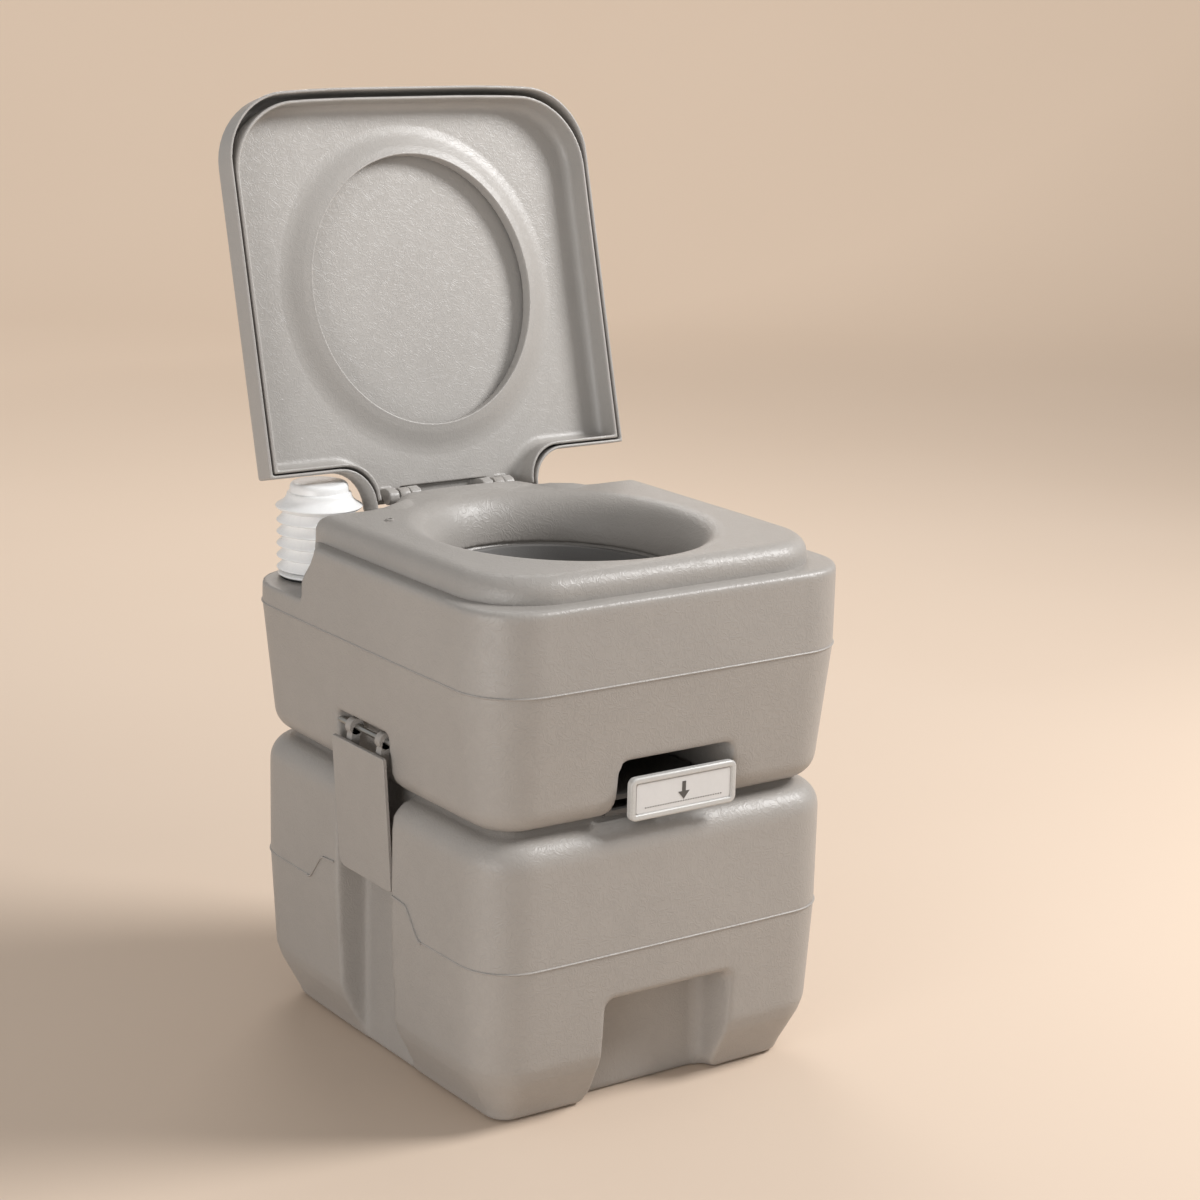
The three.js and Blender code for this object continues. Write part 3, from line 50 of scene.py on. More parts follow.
# Sizes and places of the tanks and of what they carry
body = {"half_x": 0.1825, "half_y": 0.2035, "corner": 0.050, "bow": 0.0025}
fresh = {
    "foot": 0.250, "belt": 0.366, "ledge": 0.434, "deck": 0.455, "foot_round": 0.022, "foot_taper": 0.010,
    "ledge_round": 0.0045, "deck_inset": 0.0142, "deck_corner": 0.062, "deck_round": 0.015, "step": 0.384,
    "shelf": 0.428, "shelf_half": 0.090, "shelf_front": 0.131,
}
waste = {
    "top": 0.2497, "shoulder": 0.245, "belt": 0.139, "side_inset": 0.006, "shoulder_round": 0.022,
    "taper": 0.005, "taper_height": 0.052, "chamfer_run": 0.025, "chamfer_top": 0.040, "chamfer_round": 0.004,
    "platform_slope": 0.006, "foot_round": 0.008, "mouth": 0.044,
}
pump = {"x": -0.1252, "y": 0.1625, "low": 0.3901, "pitch": 0.01038, "ribs": 5, "wall": 0.0014}
filler_place = (0.1252, 0.1625, fresh["step"])
drain_place = (0.092, 0.1725, 0.183)
# The hinge's axis and swing, its ears, and where the seat's and the lid's knuckles begin and end
hinge = {
    "y": 0.1498, "z": 0.4492, "swing": 104.9, "radius": 0.0068,
    "ear": 0.049, "ear_radius": 0.0075, "ear_width": 0.010, "seat": (0.0550, 0.0655), "lid": (0.0320, 0.0430),
}
# The middle of the handle and its recesses along the front, and of the latches along the sides
handle_x = 0.003
latch_y = -0.0015
jog = {"start": 0.048, "reach": 0.046}
notch = {"radius": 0.066, "front": 0.0965, "tongue": 0.0592, "riser_run": 0.0165, "round": 0.008}
opening = {
    "middle": -0.030, "neck_x": 0.102, "neck_y": 0.114, "neck": 0.416, "deck_x": 0.131, "deck_y": 0.139,
}
bowl_heights = [0.2898, 0.3098, 0.3396, 0.3795, 0.4090]
bowl_half_x = [0.0520, 0.0660, 0.0800, 0.0910, 0.0955]
bowl_half_y = [0.0540, 0.0720, 0.0890, 0.1020, 0.1075]
# How far the cutting tools reach, sideways and beyond a face
far = 0.30
over = 0.03


# Modelling steps

def begin(name):
    """The primitive just added, under its name and in edit mode with its place in its mesh."""
    piece = bpy.context.object
    piece.name = name
    bpy.ops.object.transform_apply(location=True, rotation=True, scale=True)
    bpy.ops.object.mode_set(mode="EDIT")
    return piece


def pick(kind, test):
    """Selects the vertices, edges or faces that pass a test of their place."""
    bpy.ops.mesh.select_mode(type=kind)
    bpy.ops.mesh.select_all(action="DESELECT")
    shape = bmesh.from_edit_mesh(bpy.context.edit_object.data)
    parts = {"VERT": shape.verts, "EDGE": shape.edges, "FACE": shape.faces}[kind]
    for part in parts:
        if kind == "VERT":
            chosen = test(part.co)
        elif kind == "EDGE":
            chosen = test((part.verts[0].co + part.verts[1].co) / 2, part.verts[1].co - part.verts[0].co)
        else:
            chosen = test(part.calc_center_median(), part.normal)
        if chosen:
            part.select_set(True)
    shape.select_flush_mode()
    bmesh.update_edit_mesh(bpy.context.edit_object.data)


def near(a, b, slack=0.0002):
    """Whether two places agree, to a fifth of a millimetre unless told otherwise."""
    return abs(a - b) < slack


def pick_level(height):
    """Selects the flat faces at a height."""
    pick("FACE", lambda centre, normal: near(centre.z, height) and abs(normal.z) > 0.9)


def end(smooth=30):
    """Leaves edit mode with the faces pointing outwards."""
    bpy.ops.mesh.select_all(action="SELECT")
    bpy.ops.mesh.remove_doubles(threshold=0.00001)
    bpy.ops.mesh.normals_make_consistent(inside=False)
    bpy.ops.object.mode_set(mode="OBJECT")
    if smooth:
        bpy.ops.object.shade_smooth_by_angle(angle=math.radians(smooth))
    return bpy.context.object


def act(piece):
    """Makes a piece the only one selected, and the active one."""
    bpy.ops.object.select_all(action="DESELECT")
    piece.select_set(True)
    bpy.context.view_layer.objects.active = piece


def change(piece, kind, **settings):
    """Adds a modifier with its settings and applies it."""
    act(piece)
    modifier = piece.modifiers.new(kind.title(), kind)
    for key, value in settings.items():
        setattr(modifier, key, value)
    bpy.ops.object.modifier_apply(modifier=modifier.name)


def cut(piece, *tools, operation="DIFFERENCE"):
    """Takes each tool out of a piece, or with UNION makes it part of the piece."""
    for tool in tools:
        change(piece, "BOOLEAN", operation=operation, object=tool, solver="MANIFOLD")


def remove(*pieces):
    for piece in pieces:
        bpy.data.objects.remove(piece, do_unlink=True)


def copied(piece, name, scale=(1, 1, 1)):
    """A copy with its own mesh, mirrored where the scale says so."""
    twin = piece.copy()
    twin.data = piece.data.copy()
    twin.name = name
    bpy.context.collection.objects.link(twin)
    act(twin)
    twin.scale = scale
    bpy.ops.object.transform_apply(location=True, rotation=True, scale=True)
    if scale[0] * scale[1] * scale[2] < 0:
        bpy.ops.object.mode_set(mode="EDIT")
        bpy.ops.mesh.select_all(action="SELECT")
        bpy.ops.mesh.normals_make_consistent(inside=False)
        bpy.ops.object.mode_set(mode="OBJECT")
    return twin


def joined(*pieces):
    """The first piece with the others' meshes in it."""
    act(pieces[0])
    for piece in pieces[1:]:
        piece.select_set(True)
    bpy.ops.object.join()
    return pieces[0]


def placed(piece, place, lean=0.0):
    """Tips a piece that was drawn at the origin and moves it to its place."""
    act(piece)
    piece.rotation_euler = (math.radians(lean), 0, 0)
    piece.location = place
    bpy.ops.object.transform_apply(location=True, rotation=True, scale=True)
    return piece


def turn(piece, angle, axis, centre):
    """Turns a finished mesh about a line."""
    act(piece)
    move = Matrix.Translation(Vector(centre)) @ Matrix.Rotation(math.radians(angle), 4, axis)
    piece.matrix_world = move @ Matrix.Translation(-Vector(centre))
    bpy.ops.object.transform_apply(location=True, rotation=True, scale=True)
    return piece


def extrude(x=0, y=0, z=0):
    bpy.ops.mesh.extrude_region_move(TRANSFORM_OT_translate={"value": (x, y, z)})


def extrude_edges(x=0, y=0, z=0):
    bpy.ops.mesh.extrude_edges_move(TRANSFORM_OT_translate={"value": (x, y, z)})


def resize(x, y, z, centre):
    """Scales what is selected about a point."""
    bpy.ops.transform.resize(value=(x, y, z), center_override=centre)


def inset(thickness, depth):
    bpy.ops.mesh.inset(thickness=thickness, depth=depth)


def rounded(radius, steps=6):
    """Insets the picked face along a quarter round."""
    for step in range(steps):
        low = math.pi / 2 * step / steps
        high = math.pi / 2 * (step + 1) / steps
        inset(radius * (math.cos(low) - math.cos(high)), radius * (math.sin(high) - math.sin(low)))


def plan(name, half_x, half_y, corner, height, bow=0, steps=12):
    """A flat outline with round corners and slightly bowed sides."""
    bpy.ops.mesh.primitive_circle_add(vertices=8, radius=1, fill_type="NGON", location=(0, 0, height))
    piece = begin(name)
    diagonal = math.sqrt(0.5)
    resize(half_x, half_y, 1, (0, 0, height))
    pick("VERT", lambda co: abs(co.x) > half_x / 2 and abs(co.y) > half_y / 2)
    resize((half_x - bow) / half_x / diagonal, (half_y - bow) / half_y / diagonal, 1, (0, 0, height))
    bpy.ops.mesh.bevel(offset=corner, segments=steps, affect="VERTICES")
    pick("VERT", lambda co: near(co.x, 0) or near(co.y, 0))
    bpy.ops.mesh.bevel(offset=(half_x - corner) * 0.6, segments=6, affect="VERTICES")
    bpy.ops.mesh.select_mode(type="FACE")
    bpy.ops.mesh.select_all(action="SELECT")
    return piece


def rings(name, middle, levels, sides=72, closed=False):
    """A body through ovals about an upright axis, each given as height, half width and half depth."""
    height, half_x, half_y = levels[0]
    x, y = middle
    fill = "NOTHING" if closed else "NGON"
    bpy.ops.mesh.primitive_circle_add(vertices=sides, radius=1, fill_type=fill, location=(x, y, height))
    begin(name)
    resize(half_x, half_y, 1, (x, y, height))
    for high, next_x, next_y in levels[1:]:
        if closed:
            extrude_edges(z=high - height)
        else:
            extrude(z=high - height)
        resize(next_x / half_x, next_y / half_y, 1, (x, y, high))
        height, half_x, half_y = high, next_x, next_y
    return end()


def lathed(name, middle, profile, closed=False):
    """A round body about an upright axis, from a profile of radius and height."""
    return rings(name, middle, [(high, radius, radius) for radius, high in profile], 72, closed)


def block(name, low, high):
    """A box between two corners, left in edit mode."""
    middle = [(a + b) / 2 for a, b in zip(low, high)]
    bpy.ops.mesh.primitive_cube_add(size=1, location=middle, scale=[b - a for a, b in zip(low, high)])
    return begin(name)


def pocket(name, form, face, turned_by=0, along=0.0):
    """The tool for a recess in a tank's face, drawn at the front and turned to its side."""
    low, high = form["low"], form["high"]
    half, back, entry = form["half"], form["back"], form["entry"]
    block(name, (along - half, face + entry, low), (along + half, back, high))
    draft = form.get("draft", 0)
    if draft:
        pick("VERT", lambda co: near(co.y, back))
        resize((half - draft) / half, 1, 1, (along, back, high))
    lean = form.get("lean", 0)
    if lean:
        pick("VERT", lambda co: near(co.z, high))
        resize((half - lean) / half, 1, 1, (along, back, high))
    if form.get("flare"):
        edge = low + form["under"] + form["flare_height"]
        bpy.ops.mesh.select_all(action="SELECT")
        bpy.ops.mesh.bisect(plane_co=(0, 0, edge), plane_no=(0, 0, 1))
        pick("VERT", lambda co: near(co.z, low))
        grow = form["flare"] * (1 + form["under"] / form["flare_height"])
        resize((half + grow) / half, 1, 1, (along, back, low))
    inner = form.get("inner", 0)
    if inner:
        pick("EDGE", lambda centre, way: near(centre.y, back) and abs(way.z) > abs(way.x))
        bpy.ops.mesh.bevel(offset=inner, segments=5, affect="EDGES")
    top = form.get("top_round", 0)
    if top:
        pick("EDGE", lambda centre, way: near(centre.z, high) and abs(way.y) > abs(way.z) + abs(way.x))
        bpy.ops.mesh.bevel(offset=top, segments=5, affect="EDGES")
    pick("FACE", lambda centre, normal: near(centre.y, face + entry, 0.0005) and normal.y < -0.9)
    for step in range(4):
        before = 1 - math.cos(math.pi / 2 * step / 4)
        after = 1 - math.cos(math.pi / 2 * (step + 1) / 4)
        run = entry * (math.sin(math.pi / 2 * (step + 1) / 4) - math.sin(math.pi / 2 * step / 4))
        extrude(y=-run)
        wide = (half + entry * after) / (half + entry * before)
        tall = (high - low + entry * after) / (high - low + entry * before)
        resize(wide, 1, tall, (along, face, low))
    run_out = 0.04
    extrude(y=-run_out)
    return turn(end(), turned_by, "Z", (0, 0, 0))


def softened(piece, voxel, smooth, triangles):
    """The soft edges of a blow-moulded shell: one even skin, smoothed and then thinned."""
    change(piece, "REMESH", mode="VOXEL", voxel_size=voxel)
    change(piece, "SMOOTH", factor=0.5, iterations=smooth)
    count = sum(len(face.vertices) - 2 for face in piece.data.polygons)
    if count > triangles:
        change(piece, "DECIMATE", ratio=triangles / count)
    bpy.ops.object.shade_smooth()
    return piece


# Cutting tools of the tanks

def notch_tool():
    """The tool that cuts the left rear corner down to a step."""
    half_x = (far - notch["tongue"]) / 2
    half_y = (far - notch["front"]) / 2
    low = fresh["step"]
    middle = (-notch["tongue"] - half_x, notch["front"] + half_y, low)
    bpy.ops.mesh.primitive_plane_add(size=2, location=middle)
    begin("notch_tool")
    resize(half_x, half_y, 1, middle)
    pick("VERT", lambda co: near(co.x, -notch["tongue"]) and near(co.y, notch["front"]))
    bpy.ops.mesh.bevel(offset=notch["radius"], segments=18, affect="VERTICES")
    bpy.ops.mesh.select_all(action="SELECT")
    straight = fresh["deck"] - notch["round"]
    extrude(z=straight - low)
    for step in range(5):
        before = notch["round"] * (1 - math.cos(math.pi / 2 * step / 5))
        after = notch["round"] * (1 - math.cos(math.pi / 2 * (step + 1) / 5))
        rise = notch["round"] * (math.sin(math.pi / 2 * (step + 1) / 5) - math.sin(math.pi / 2 * step / 5))
        extrude(z=rise)
        resize((2 * half_x + after) / (2 * half_x + before), (2 * half_y + after) / (2 * half_y + before), 1,
               (-far, far, straight))
    extrude(z=over)
    tool = end(0)
    # The riser bends forward where it runs out through the tank's side
    outer = -body["half_x"] - 0.0075
    inner = -body["half_x"] + notch["riser_run"]
    high = fresh["deck"] + over
    block("riser_tool", (outer, notch["front"], low), (inner, notch["front"] + over, high))
    bpy.ops.mesh.select_all(action="SELECT")
    bpy.ops.mesh.bisect(plane_co=(0, 0, fresh["ledge"]), plane_no=(0, 0, 1))
    for height, forward in ((low, 0.002), (fresh["ledge"], 0.043), (high, 0.083)):
        pick("VERT", lambda co: near(co.x, outer) and near(co.y, notch["front"]) and near(co.z, height))
        bpy.ops.transform.translate(value=(0, -forward, 0))
    wedge = end(0)
    cut(tool, wedge, operation="UNION")
    remove(wedge)
    return tool


def well_tool(grow=0.0):
    """The tool for the bowl's seat and the flared well above it; grown a little where the deck lines it."""
    slack = 0.002 + grow
    levels = [(0.262, bowl_half_x[0] + slack, bowl_half_y[0] + slack)]
    for height, half_x, half_y in zip(bowl_heights, bowl_half_x, bowl_half_y):
        levels.append((height, half_x + slack, half_y + slack))
    levels.append((bowl_heights[-1] + 0.0002, opening["neck_x"] + grow, opening["neck_y"] + grow))
    steps = 9
    for step in range(steps + 1):
        angle = math.pi / 2 * step / steps
        spread = 1 - math.cos(angle)
        levels.append((
            opening["neck"] + (fresh["deck"] - opening["neck"]) * math.sin(angle),
            opening["neck_x"] + (opening["deck_x"] - opening["neck_x"]) * spread + grow,
            opening["neck_y"] + (opening["deck_y"] - opening["neck_y"]) * spread + grow,
        ))
    last = levels[-1]
    levels.append((last[0] + over, last[1], last[2]))
    return rings("well_tool", (0, opening["middle"]), levels, 96)


tunnel_form = {
    "low": 0.230, "high": 0.300, "half": 0.061, "back": 0.045, "entry": 0.006, "flare": 0.006, "under": 0.020,
    "flare_height": 0.007, "lean": 0.006, "top_round": 0.006, "inner": 0.010,
}
latch_recess_form = {
    "low": 0.230, "high": 0.300, "half": 0.042, "back": -0.1585, "entry": 0.005, "flare": 0.007,
    "under": 0.020, "flare_height": 0.009, "draft": 0.001, "top_round": 0.005, "inner": 0.005,
}
hand_recess_form = {
    "low": -0.030, "high": 0.097, "half": 0.065, "back": -0.1535, "entry": 0.012, "flare": 0.007,
    "under": 0.030, "flare_height": 0.009, "lean": 0.003, "draft": 0.003, "top_round": 0.009, "inner": 0.010,
}
channel_form = {
    "low": -0.030, "high": 0.300, "half": 0.0435, "back": -0.1465, "entry": 0.005, "draft": 0.003,
    "inner": 0.004,
}
drain_form = {
    "low": 0.142, "high": 0.223, "half": 0.042, "back": -0.1695, "entry": 0.006, "draft": 0.003,
    "inner": 0.010, "top_round": 0.010,
}


# The tanks

def bump(name, middle, half, turned_by=0.0):
    """A soft low rise on the deck."""
    bpy.ops.mesh.primitive_uv_sphere_add(segments=48, ring_count=24, radius=1, location=middle)
    begin(name)
    resize(*half, middle)
    return turn(end(), turned_by, "Z", middle)


def fresh_tank():
    """The upper tank: its body, and the deck that lines the well."""
    shell = plan("tank_upper", body["half_x"], body["half_y"], body["corner"], fresh["belt"], body["bow"])
    extrude(z=fresh["ledge"] - fresh["ledge_round"] - fresh["belt"])
    rounded(fresh["ledge_round"], 4)
    pick_level(fresh["belt"])
    inset(fresh["foot_taper"], fresh["belt"] - fresh["foot"] - fresh["foot_round"])
    rounded(fresh["foot_round"], 8)
    end(0)
    deck_low = 0.4128
    deck = plan("tank_deck", body["half_x"] - fresh["deck_inset"], body["half_y"] - fresh["deck_inset"],
                fresh["deck_corner"], deck_low, body["bow"], 14)
    extrude(z=fresh["deck"] - fresh["deck_round"] - deck_low)
    rounded(fresh["deck_round"], 8)
    end(0)
    rise, base = 0.0034, fresh["deck"] - 0.0005
    rear_hump = bump("rear_hump", (0.0, 0.1225, base), (0.074, 0.020, rise))
    corner_pad = bump("corner_pad", (-0.0860, 0.1030, base), (0.017, 0.024, rise), -32)
    corner_pad_right = copied(corner_pad, "corner_pad_right", (-1, 1, 1))
    cut(deck, rear_hump, corner_pad, corner_pad_right, operation="UNION")
    left = notch_tool()
    right = copied(left, "notch_right", (-1, 1, 1))
    deck_well = well_tool()
    well = well_tool(0.003)
    block("shelf_tool", (-fresh["shelf_half"], fresh["shelf_front"], fresh["shelf"]),
          (fresh["shelf_half"], far, fresh["deck"] + over))
    shelf = end(0)
    block("deck_rear_tool", (-far, fresh["shelf_front"], 0.40), (far, far, fresh["shelf"] + 0.001))
    deck_rear = end(0)
    cut(deck, left, right, deck_well, shelf, deck_rear)
    remove(rear_hump, corner_pad, corner_pad_right, deck_well, deck_rear)
    recess_y = 0.004
    latch_left = pocket("latch_recess_left", latch_recess_form, -body["half_x"], -90, -recess_y)
    latch_right = pocket("latch_recess_right", latch_recess_form, -body["half_x"], 90, recess_y)
    tunnel = pocket("tunnel", tunnel_form, -body["half_y"], 0, handle_x)
    cut(shell, left, right, well, shelf, latch_left, latch_right, tunnel)
    remove(left, right, well, shelf, latch_left, latch_right, tunnel)
    softened(shell, 0.0024, 6, 150000)
    softened(deck, 0.0018, 5, 150000)
    return shell, deck


def waste_tank():
    """The lower tank with its chamfered foot, hand recess and latch channels."""
    half_x, half_y = body["half_x"] - waste["side_inset"], body["half_y"] - waste["side_inset"]
    corner = body["corner"] - waste["side_inset"]
    piece = plan("tank_lower", half_x, half_y, corner, waste["belt"], body["bow"])
    extrude(z=waste["shoulder"] - waste["shoulder_round"] - waste["belt"])
    rounded(waste["shoulder_round"], 7)
    inset(waste["platform_slope"], waste["top"] - waste["shoulder"])
    pick_level(waste["belt"])
    inset(waste["taper"], waste["belt"] - waste["taper_height"])
    inset(waste["chamfer_round"], waste["taper_height"] - waste["chamfer_top"])
    inset(waste["chamfer_run"] - waste["foot_round"], waste["chamfer_top"] - waste["foot_round"])
    rounded(waste["foot_round"], 5)
    end(0)
    hand = pocket("hand_recess", hand_recess_form, -half_y, 0, handle_x)
    left = pocket("channel_left", channel_form, -half_x, -90, -latch_y)
    right = pocket("channel_right", channel_form, -half_x, 90, latch_y)
    drain = pocket("drain_recess", drain_form, -half_y, 180, -drain_place[0])
    bpy.ops.mesh.primitive_cylinder_add(
        vertices=64, radius=waste["mouth"], depth=0.2, location=(0, opening["middle"], 0.2))
    begin("mouth_tool")
    mouth = end(0)
    cut(piece, hand, left, right, drain, mouth)
    remove(hand, left, right, drain, mouth)
    softened(piece, 0.0024, 6, 180000)
    return piece


# Materials

class Value:
    """An output inside a material, so that shader maths reads like maths."""

    def __init__(self, paint, socket):
        self.paint = paint
        self.socket = socket

    def math(self, operation, *others):
        values = {0: self}
        for place, other in enumerate(others, 1):
            values[place] = other
        return self.paint.node("ShaderNodeMath", {"operation": operation}, values)

    def __add__(self, other):
        return self.math("ADD", other)

    __radd__ = __add__

    def __sub__(self, other):
        return self.math("SUBTRACT", other)

    def __rsub__(self, other):
        return self * -1 + other

    def __mul__(self, other):
        return self.math("MULTIPLY", other)

    __rmul__ = __mul__

    def __pow__(self, other):
        return self.math("POWER", other)

    def __abs__(self):
        return self.math("ABSOLUTE")


class Paint:
    """A material made of nodes."""

    def __init__(self, name):
        self.material = bpy.data.materials.new(name)
        self.material.use_nodes = True
        self.tree = self.material.node_tree
        self.shader = self.tree.nodes["Principled BSDF"]

    def node(self, kind, settings=None, values=None, output=0):
        made = self.tree.nodes.new(kind)
        for key, value in (settings or {}).items():
            setattr(made, key, value)
        for key, value in (values or {}).items():
            self.feed(made.inputs[key], value)
        return Value(self, made.outputs[output])

    def feed(self, socket, value):
        if isinstance(value, Value):
            self.tree.links.new(value.socket, socket)
        else:
            socket.default_value = value

    def noise(self, place, scale, detail=2.0, distortion=0.0):
        return self.node("ShaderNodeTexNoise", None, {
            "Vector": place, "Scale": scale, "Detail": detail, "Distortion": distortion})

    def mixed(self, share, first, second):
        return self.node("ShaderNodeMix", {"data_type": "RGBA"}, {0: share, 6: first, 7: second}, 2)

    def shade(self, **inputs):
        for name, value in inputs.items():
            self.feed(self.shader.inputs[name.replace("_", " ").title().replace("Ior", "IOR")], value)


def tinted(colour, share):
    """A colour made darker or lighter."""
    return tuple(min(1.0, part * share) for part in colour) + (1,)


def plastic(name, colour, rough, wrinkle, grain, relief, coat=0.0):
    """Moulded plastic: a little uneven in tone and gloss, with leather-like wrinkles or a fine grain."""
    paint = Paint(name)
    place = paint.node("ShaderNodeTexCoord", output=3)
    cloud = paint.noise(place, 7, 3)
    speck = paint.noise(place, 55, 2)
    ridges = (1 - abs(paint.noise(place, wrinkle, 2.5, 1.8) * 2 - 1)) ** 9
    fine = paint.noise(place, grain, 3, 0.6)
    tone = cloud * 0.7 + speck * 0.3 - ridges * 0.12
    paint.shade(
        base_color=paint.mixed(tone, tinted(colour, 0.90), tinted(colour, 1.09)),
        roughness=cloud * 0.08 + fine * 0.10 - ridges * 0.05 + (rough - 0.09),
        specular_ior_level=0.45,
        coat_weight=coat,
        coat_roughness=0.25,
        normal=paint.node("ShaderNodeBump", None, {
            "Height": ridges * 0.8 + fine * 0.5, "Strength": 0.55, "Distance": relief}),
    )
    return paint.material


def metal(name, colour, rough):
    """Brushed bare metal."""
    paint = Paint(name)
    place = paint.node("ShaderNodeTexCoord", output=3)
    fine = paint.noise(place, 900, 2)
    cloud = paint.noise(place, 40, 2)
    paint.shade(
        base_color=paint.mixed(cloud, tinted(colour, 0.93), tinted(colour, 1.05)),
        metallic=1.0,
        roughness=fine * 0.10 + (rough - 0.05),
    )
    return paint.material


def milky(name, colour):
    """Half-clear tubing."""
    paint = Paint(name)
    place = paint.node("ShaderNodeTexCoord", output=3)
    cloud = paint.noise(place, 30, 2)
    paint.shade(
        base_color=paint.mixed(cloud, tinted(colour, 0.95), tinted(colour, 1.04)),
        roughness=cloud * 0.06 + 0.27,
        subsurface_weight=0.25,
        subsurface_scale=0.01,
    )
    return paint.material


look = {
    "grey": plastic("tank_plastic", (0.356, 0.331, 0.306), 0.42, 105, 900, 0.00030),
    "pale_grey": plastic("flap_plastic", (0.395, 0.373, 0.349), 0.38, 125, 1100, 0.00020),
    # Painted shade: the bowl insert's pale grey darkened for the shadow that fills the bowl
    "bowl_shade_grey": plastic("bowl_shaded_plastic", (0.150, 0.143, 0.136), 0.42, 260, 1100, 0.00010),
    "dark_grey": plastic("dark_plastic", (0.09, 0.084, 0.078), 0.50, 300, 1400, 0.00010),
    "white": plastic("white_plastic", (0.90, 0.895, 0.885), 0.33, 60, 500, 0.00003, 0.2),
    # Painted shade: a darker copy of the white for the label, for the lesser light on the upright front
    "label": plastic("label_shaded_white", (0.66, 0.65, 0.64), 0.36, 60, 500, 0.00002),
    "rubber": plastic("black_rubber", (0.017, 0.017, 0.017), 0.78, 300, 1600, 0.00008),
    "frame": plastic("silver_plastic", (0.52, 0.51, 0.49), 0.30, 200, 1500, 0.00004, 0.3),
    "steel": metal("steel", (0.49, 0.49, 0.47), 0.32),
    "clear": milky("milky_tube", (0.69, 0.73, 0.72)),
}


def finished(piece, paint, carrier, slot, *nodes):
    """Paints a piece, lets it ride on its body and hides the nodes that it stands for."""
    piece.data.materials.clear()
    piece.data.materials.append(look[paint])
    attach(piece, carrier)
    if nodes:
        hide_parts(*nodes)
    return piece


# The pieces

def parting_ridge(name, half_x, half_y, corner, height):
    """The slim raised line where the two halves of the mould met."""
    proud, sunk = 0.0008, 0.003
    ring = plan(name, half_x, half_y, corner, height - 0.0010, body["bow"])
    bpy.ops.mesh.delete(type="ONLY_FACE")
    bpy.ops.mesh.select_all(action="SELECT")
    grow_x, grow_y = (half_x + proud) / half_x, (half_y + proud) / half_y
    extrude_edges(z=0.0008)
    resize(grow_x, grow_y, 1, (0, 0, height))
    extrude_edges(z=0.0004)
    extrude_edges(z=0.0008)
    resize(1 / grow_x, 1 / grow_y, 1, (0, 0, height))
    extrude_edges()
    resize((half_x - sunk) / half_x, (half_y - sunk) / half_y, 1, (0, 0, height))
    extrude_edges(z=-0.0020)
    extrude_edges()
    resize(half_x / (half_x - sunk), half_y / (half_y - sunk), 1, (0, 0, height))
    end(50)
    return ring


def ridge_jog(away):
    """The parting line's jog beside the left latch channel: behind it where away is 1, before it at -1."""
    face = body["half_x"] - waste["side_inset"] - 0.0006
    low, thick = waste["belt"] - 0.0009, 0.0018
    start, run = latch_y + away * jog["start"], away * jog["reach"]
    block("ridge_jog", (-face - 0.0012, min(start, start + run), low),
          (-face + 0.002, max(start, start + run), low + thick))
    for share in (0.42, 0.50, 0.86, 0.94):
        bpy.ops.mesh.select_all(action="SELECT")
        bpy.ops.mesh.bisect(plane_co=(0, start + run * share, 0), plane_no=(0, 1, 0))
    for share, rise in ((0, 0.026), (0.42, 0.0245), (0.50, 0.0225), (0.86, 0.002)):
        pick("VERT", lambda co: near(co.y, start + run * share))
        bpy.ops.transform.translate(value=(0, 0, rise))
    pick("EDGE", lambda centre, way: centre.x < -face - 0.001 and abs(way.y) > abs(way.x))
    bpy.ops.mesh.bevel(offset=0.0005, segments=2, affect="EDGES")
    return end(50)


def hinge_ears():
    """The tank's two ears, each between a knuckle of the seat and one of the lid."""
    ears = []
    half = hinge["ear_width"] / 2
    for side in (-1, 1):
        middle = side * hinge["ear"]
        bpy.ops.mesh.primitive_cylinder_add(
            vertices=48, radius=hinge["ear_radius"], depth=hinge["ear_width"],
            location=(middle, hinge["y"], hinge["z"]), rotation=(0, math.pi / 2, 0))
        begin("hinge_ear")
        pick("EDGE", lambda centre, way: near(abs(centre.x - middle), half) and abs(way.x) < 0.0001)
        bpy.ops.mesh.bevel(offset=0.0006, segments=2, affect="EDGES")
        ears.append(end())
        block("hinge_stem", (middle - half, 0.1408, 0.4265), (middle + half, 0.1545, hinge["z"]))
        ears.append(end())
    return joined(*ears)


def bowl_piece():
    """The bowl insert, a thin shell with a rolled rim."""
    foot, wall = 0.2747, 0.0025
    side = list(zip(bowl_heights, bowl_half_x, bowl_half_y))[:-1]
    # The rolled rim, from the outside over its top to the inside
    rim = [(0.4088, 0.0935, 0.1055), (0.4092, 0.0985, 0.1105), (0.4098, 0.0998, 0.1118),
           (0.4106, 0.1000, 0.1120), (0.4115, 0.0997, 0.1117), (0.4120, 0.0985, 0.1105),
           (0.4121, 0.0945, 0.1065), (0.4116, 0.0935, 0.1055), (0.4104, 0.0930, 0.1050)]
    levels = [(foot, 0.0490, 0.0490), (0.2800, 0.0500, 0.0505)] + side + rim
    for height, half_x, half_y in reversed(side):
        levels.append((height + 0.0005, half_x - wall, half_y - wall))
    levels += [(0.2800, 0.0472, 0.0476), (foot, 0.0460, 0.0460), levels[0]]
    return rings("bowl_insert", (0, opening["middle"]), levels, 96, True)


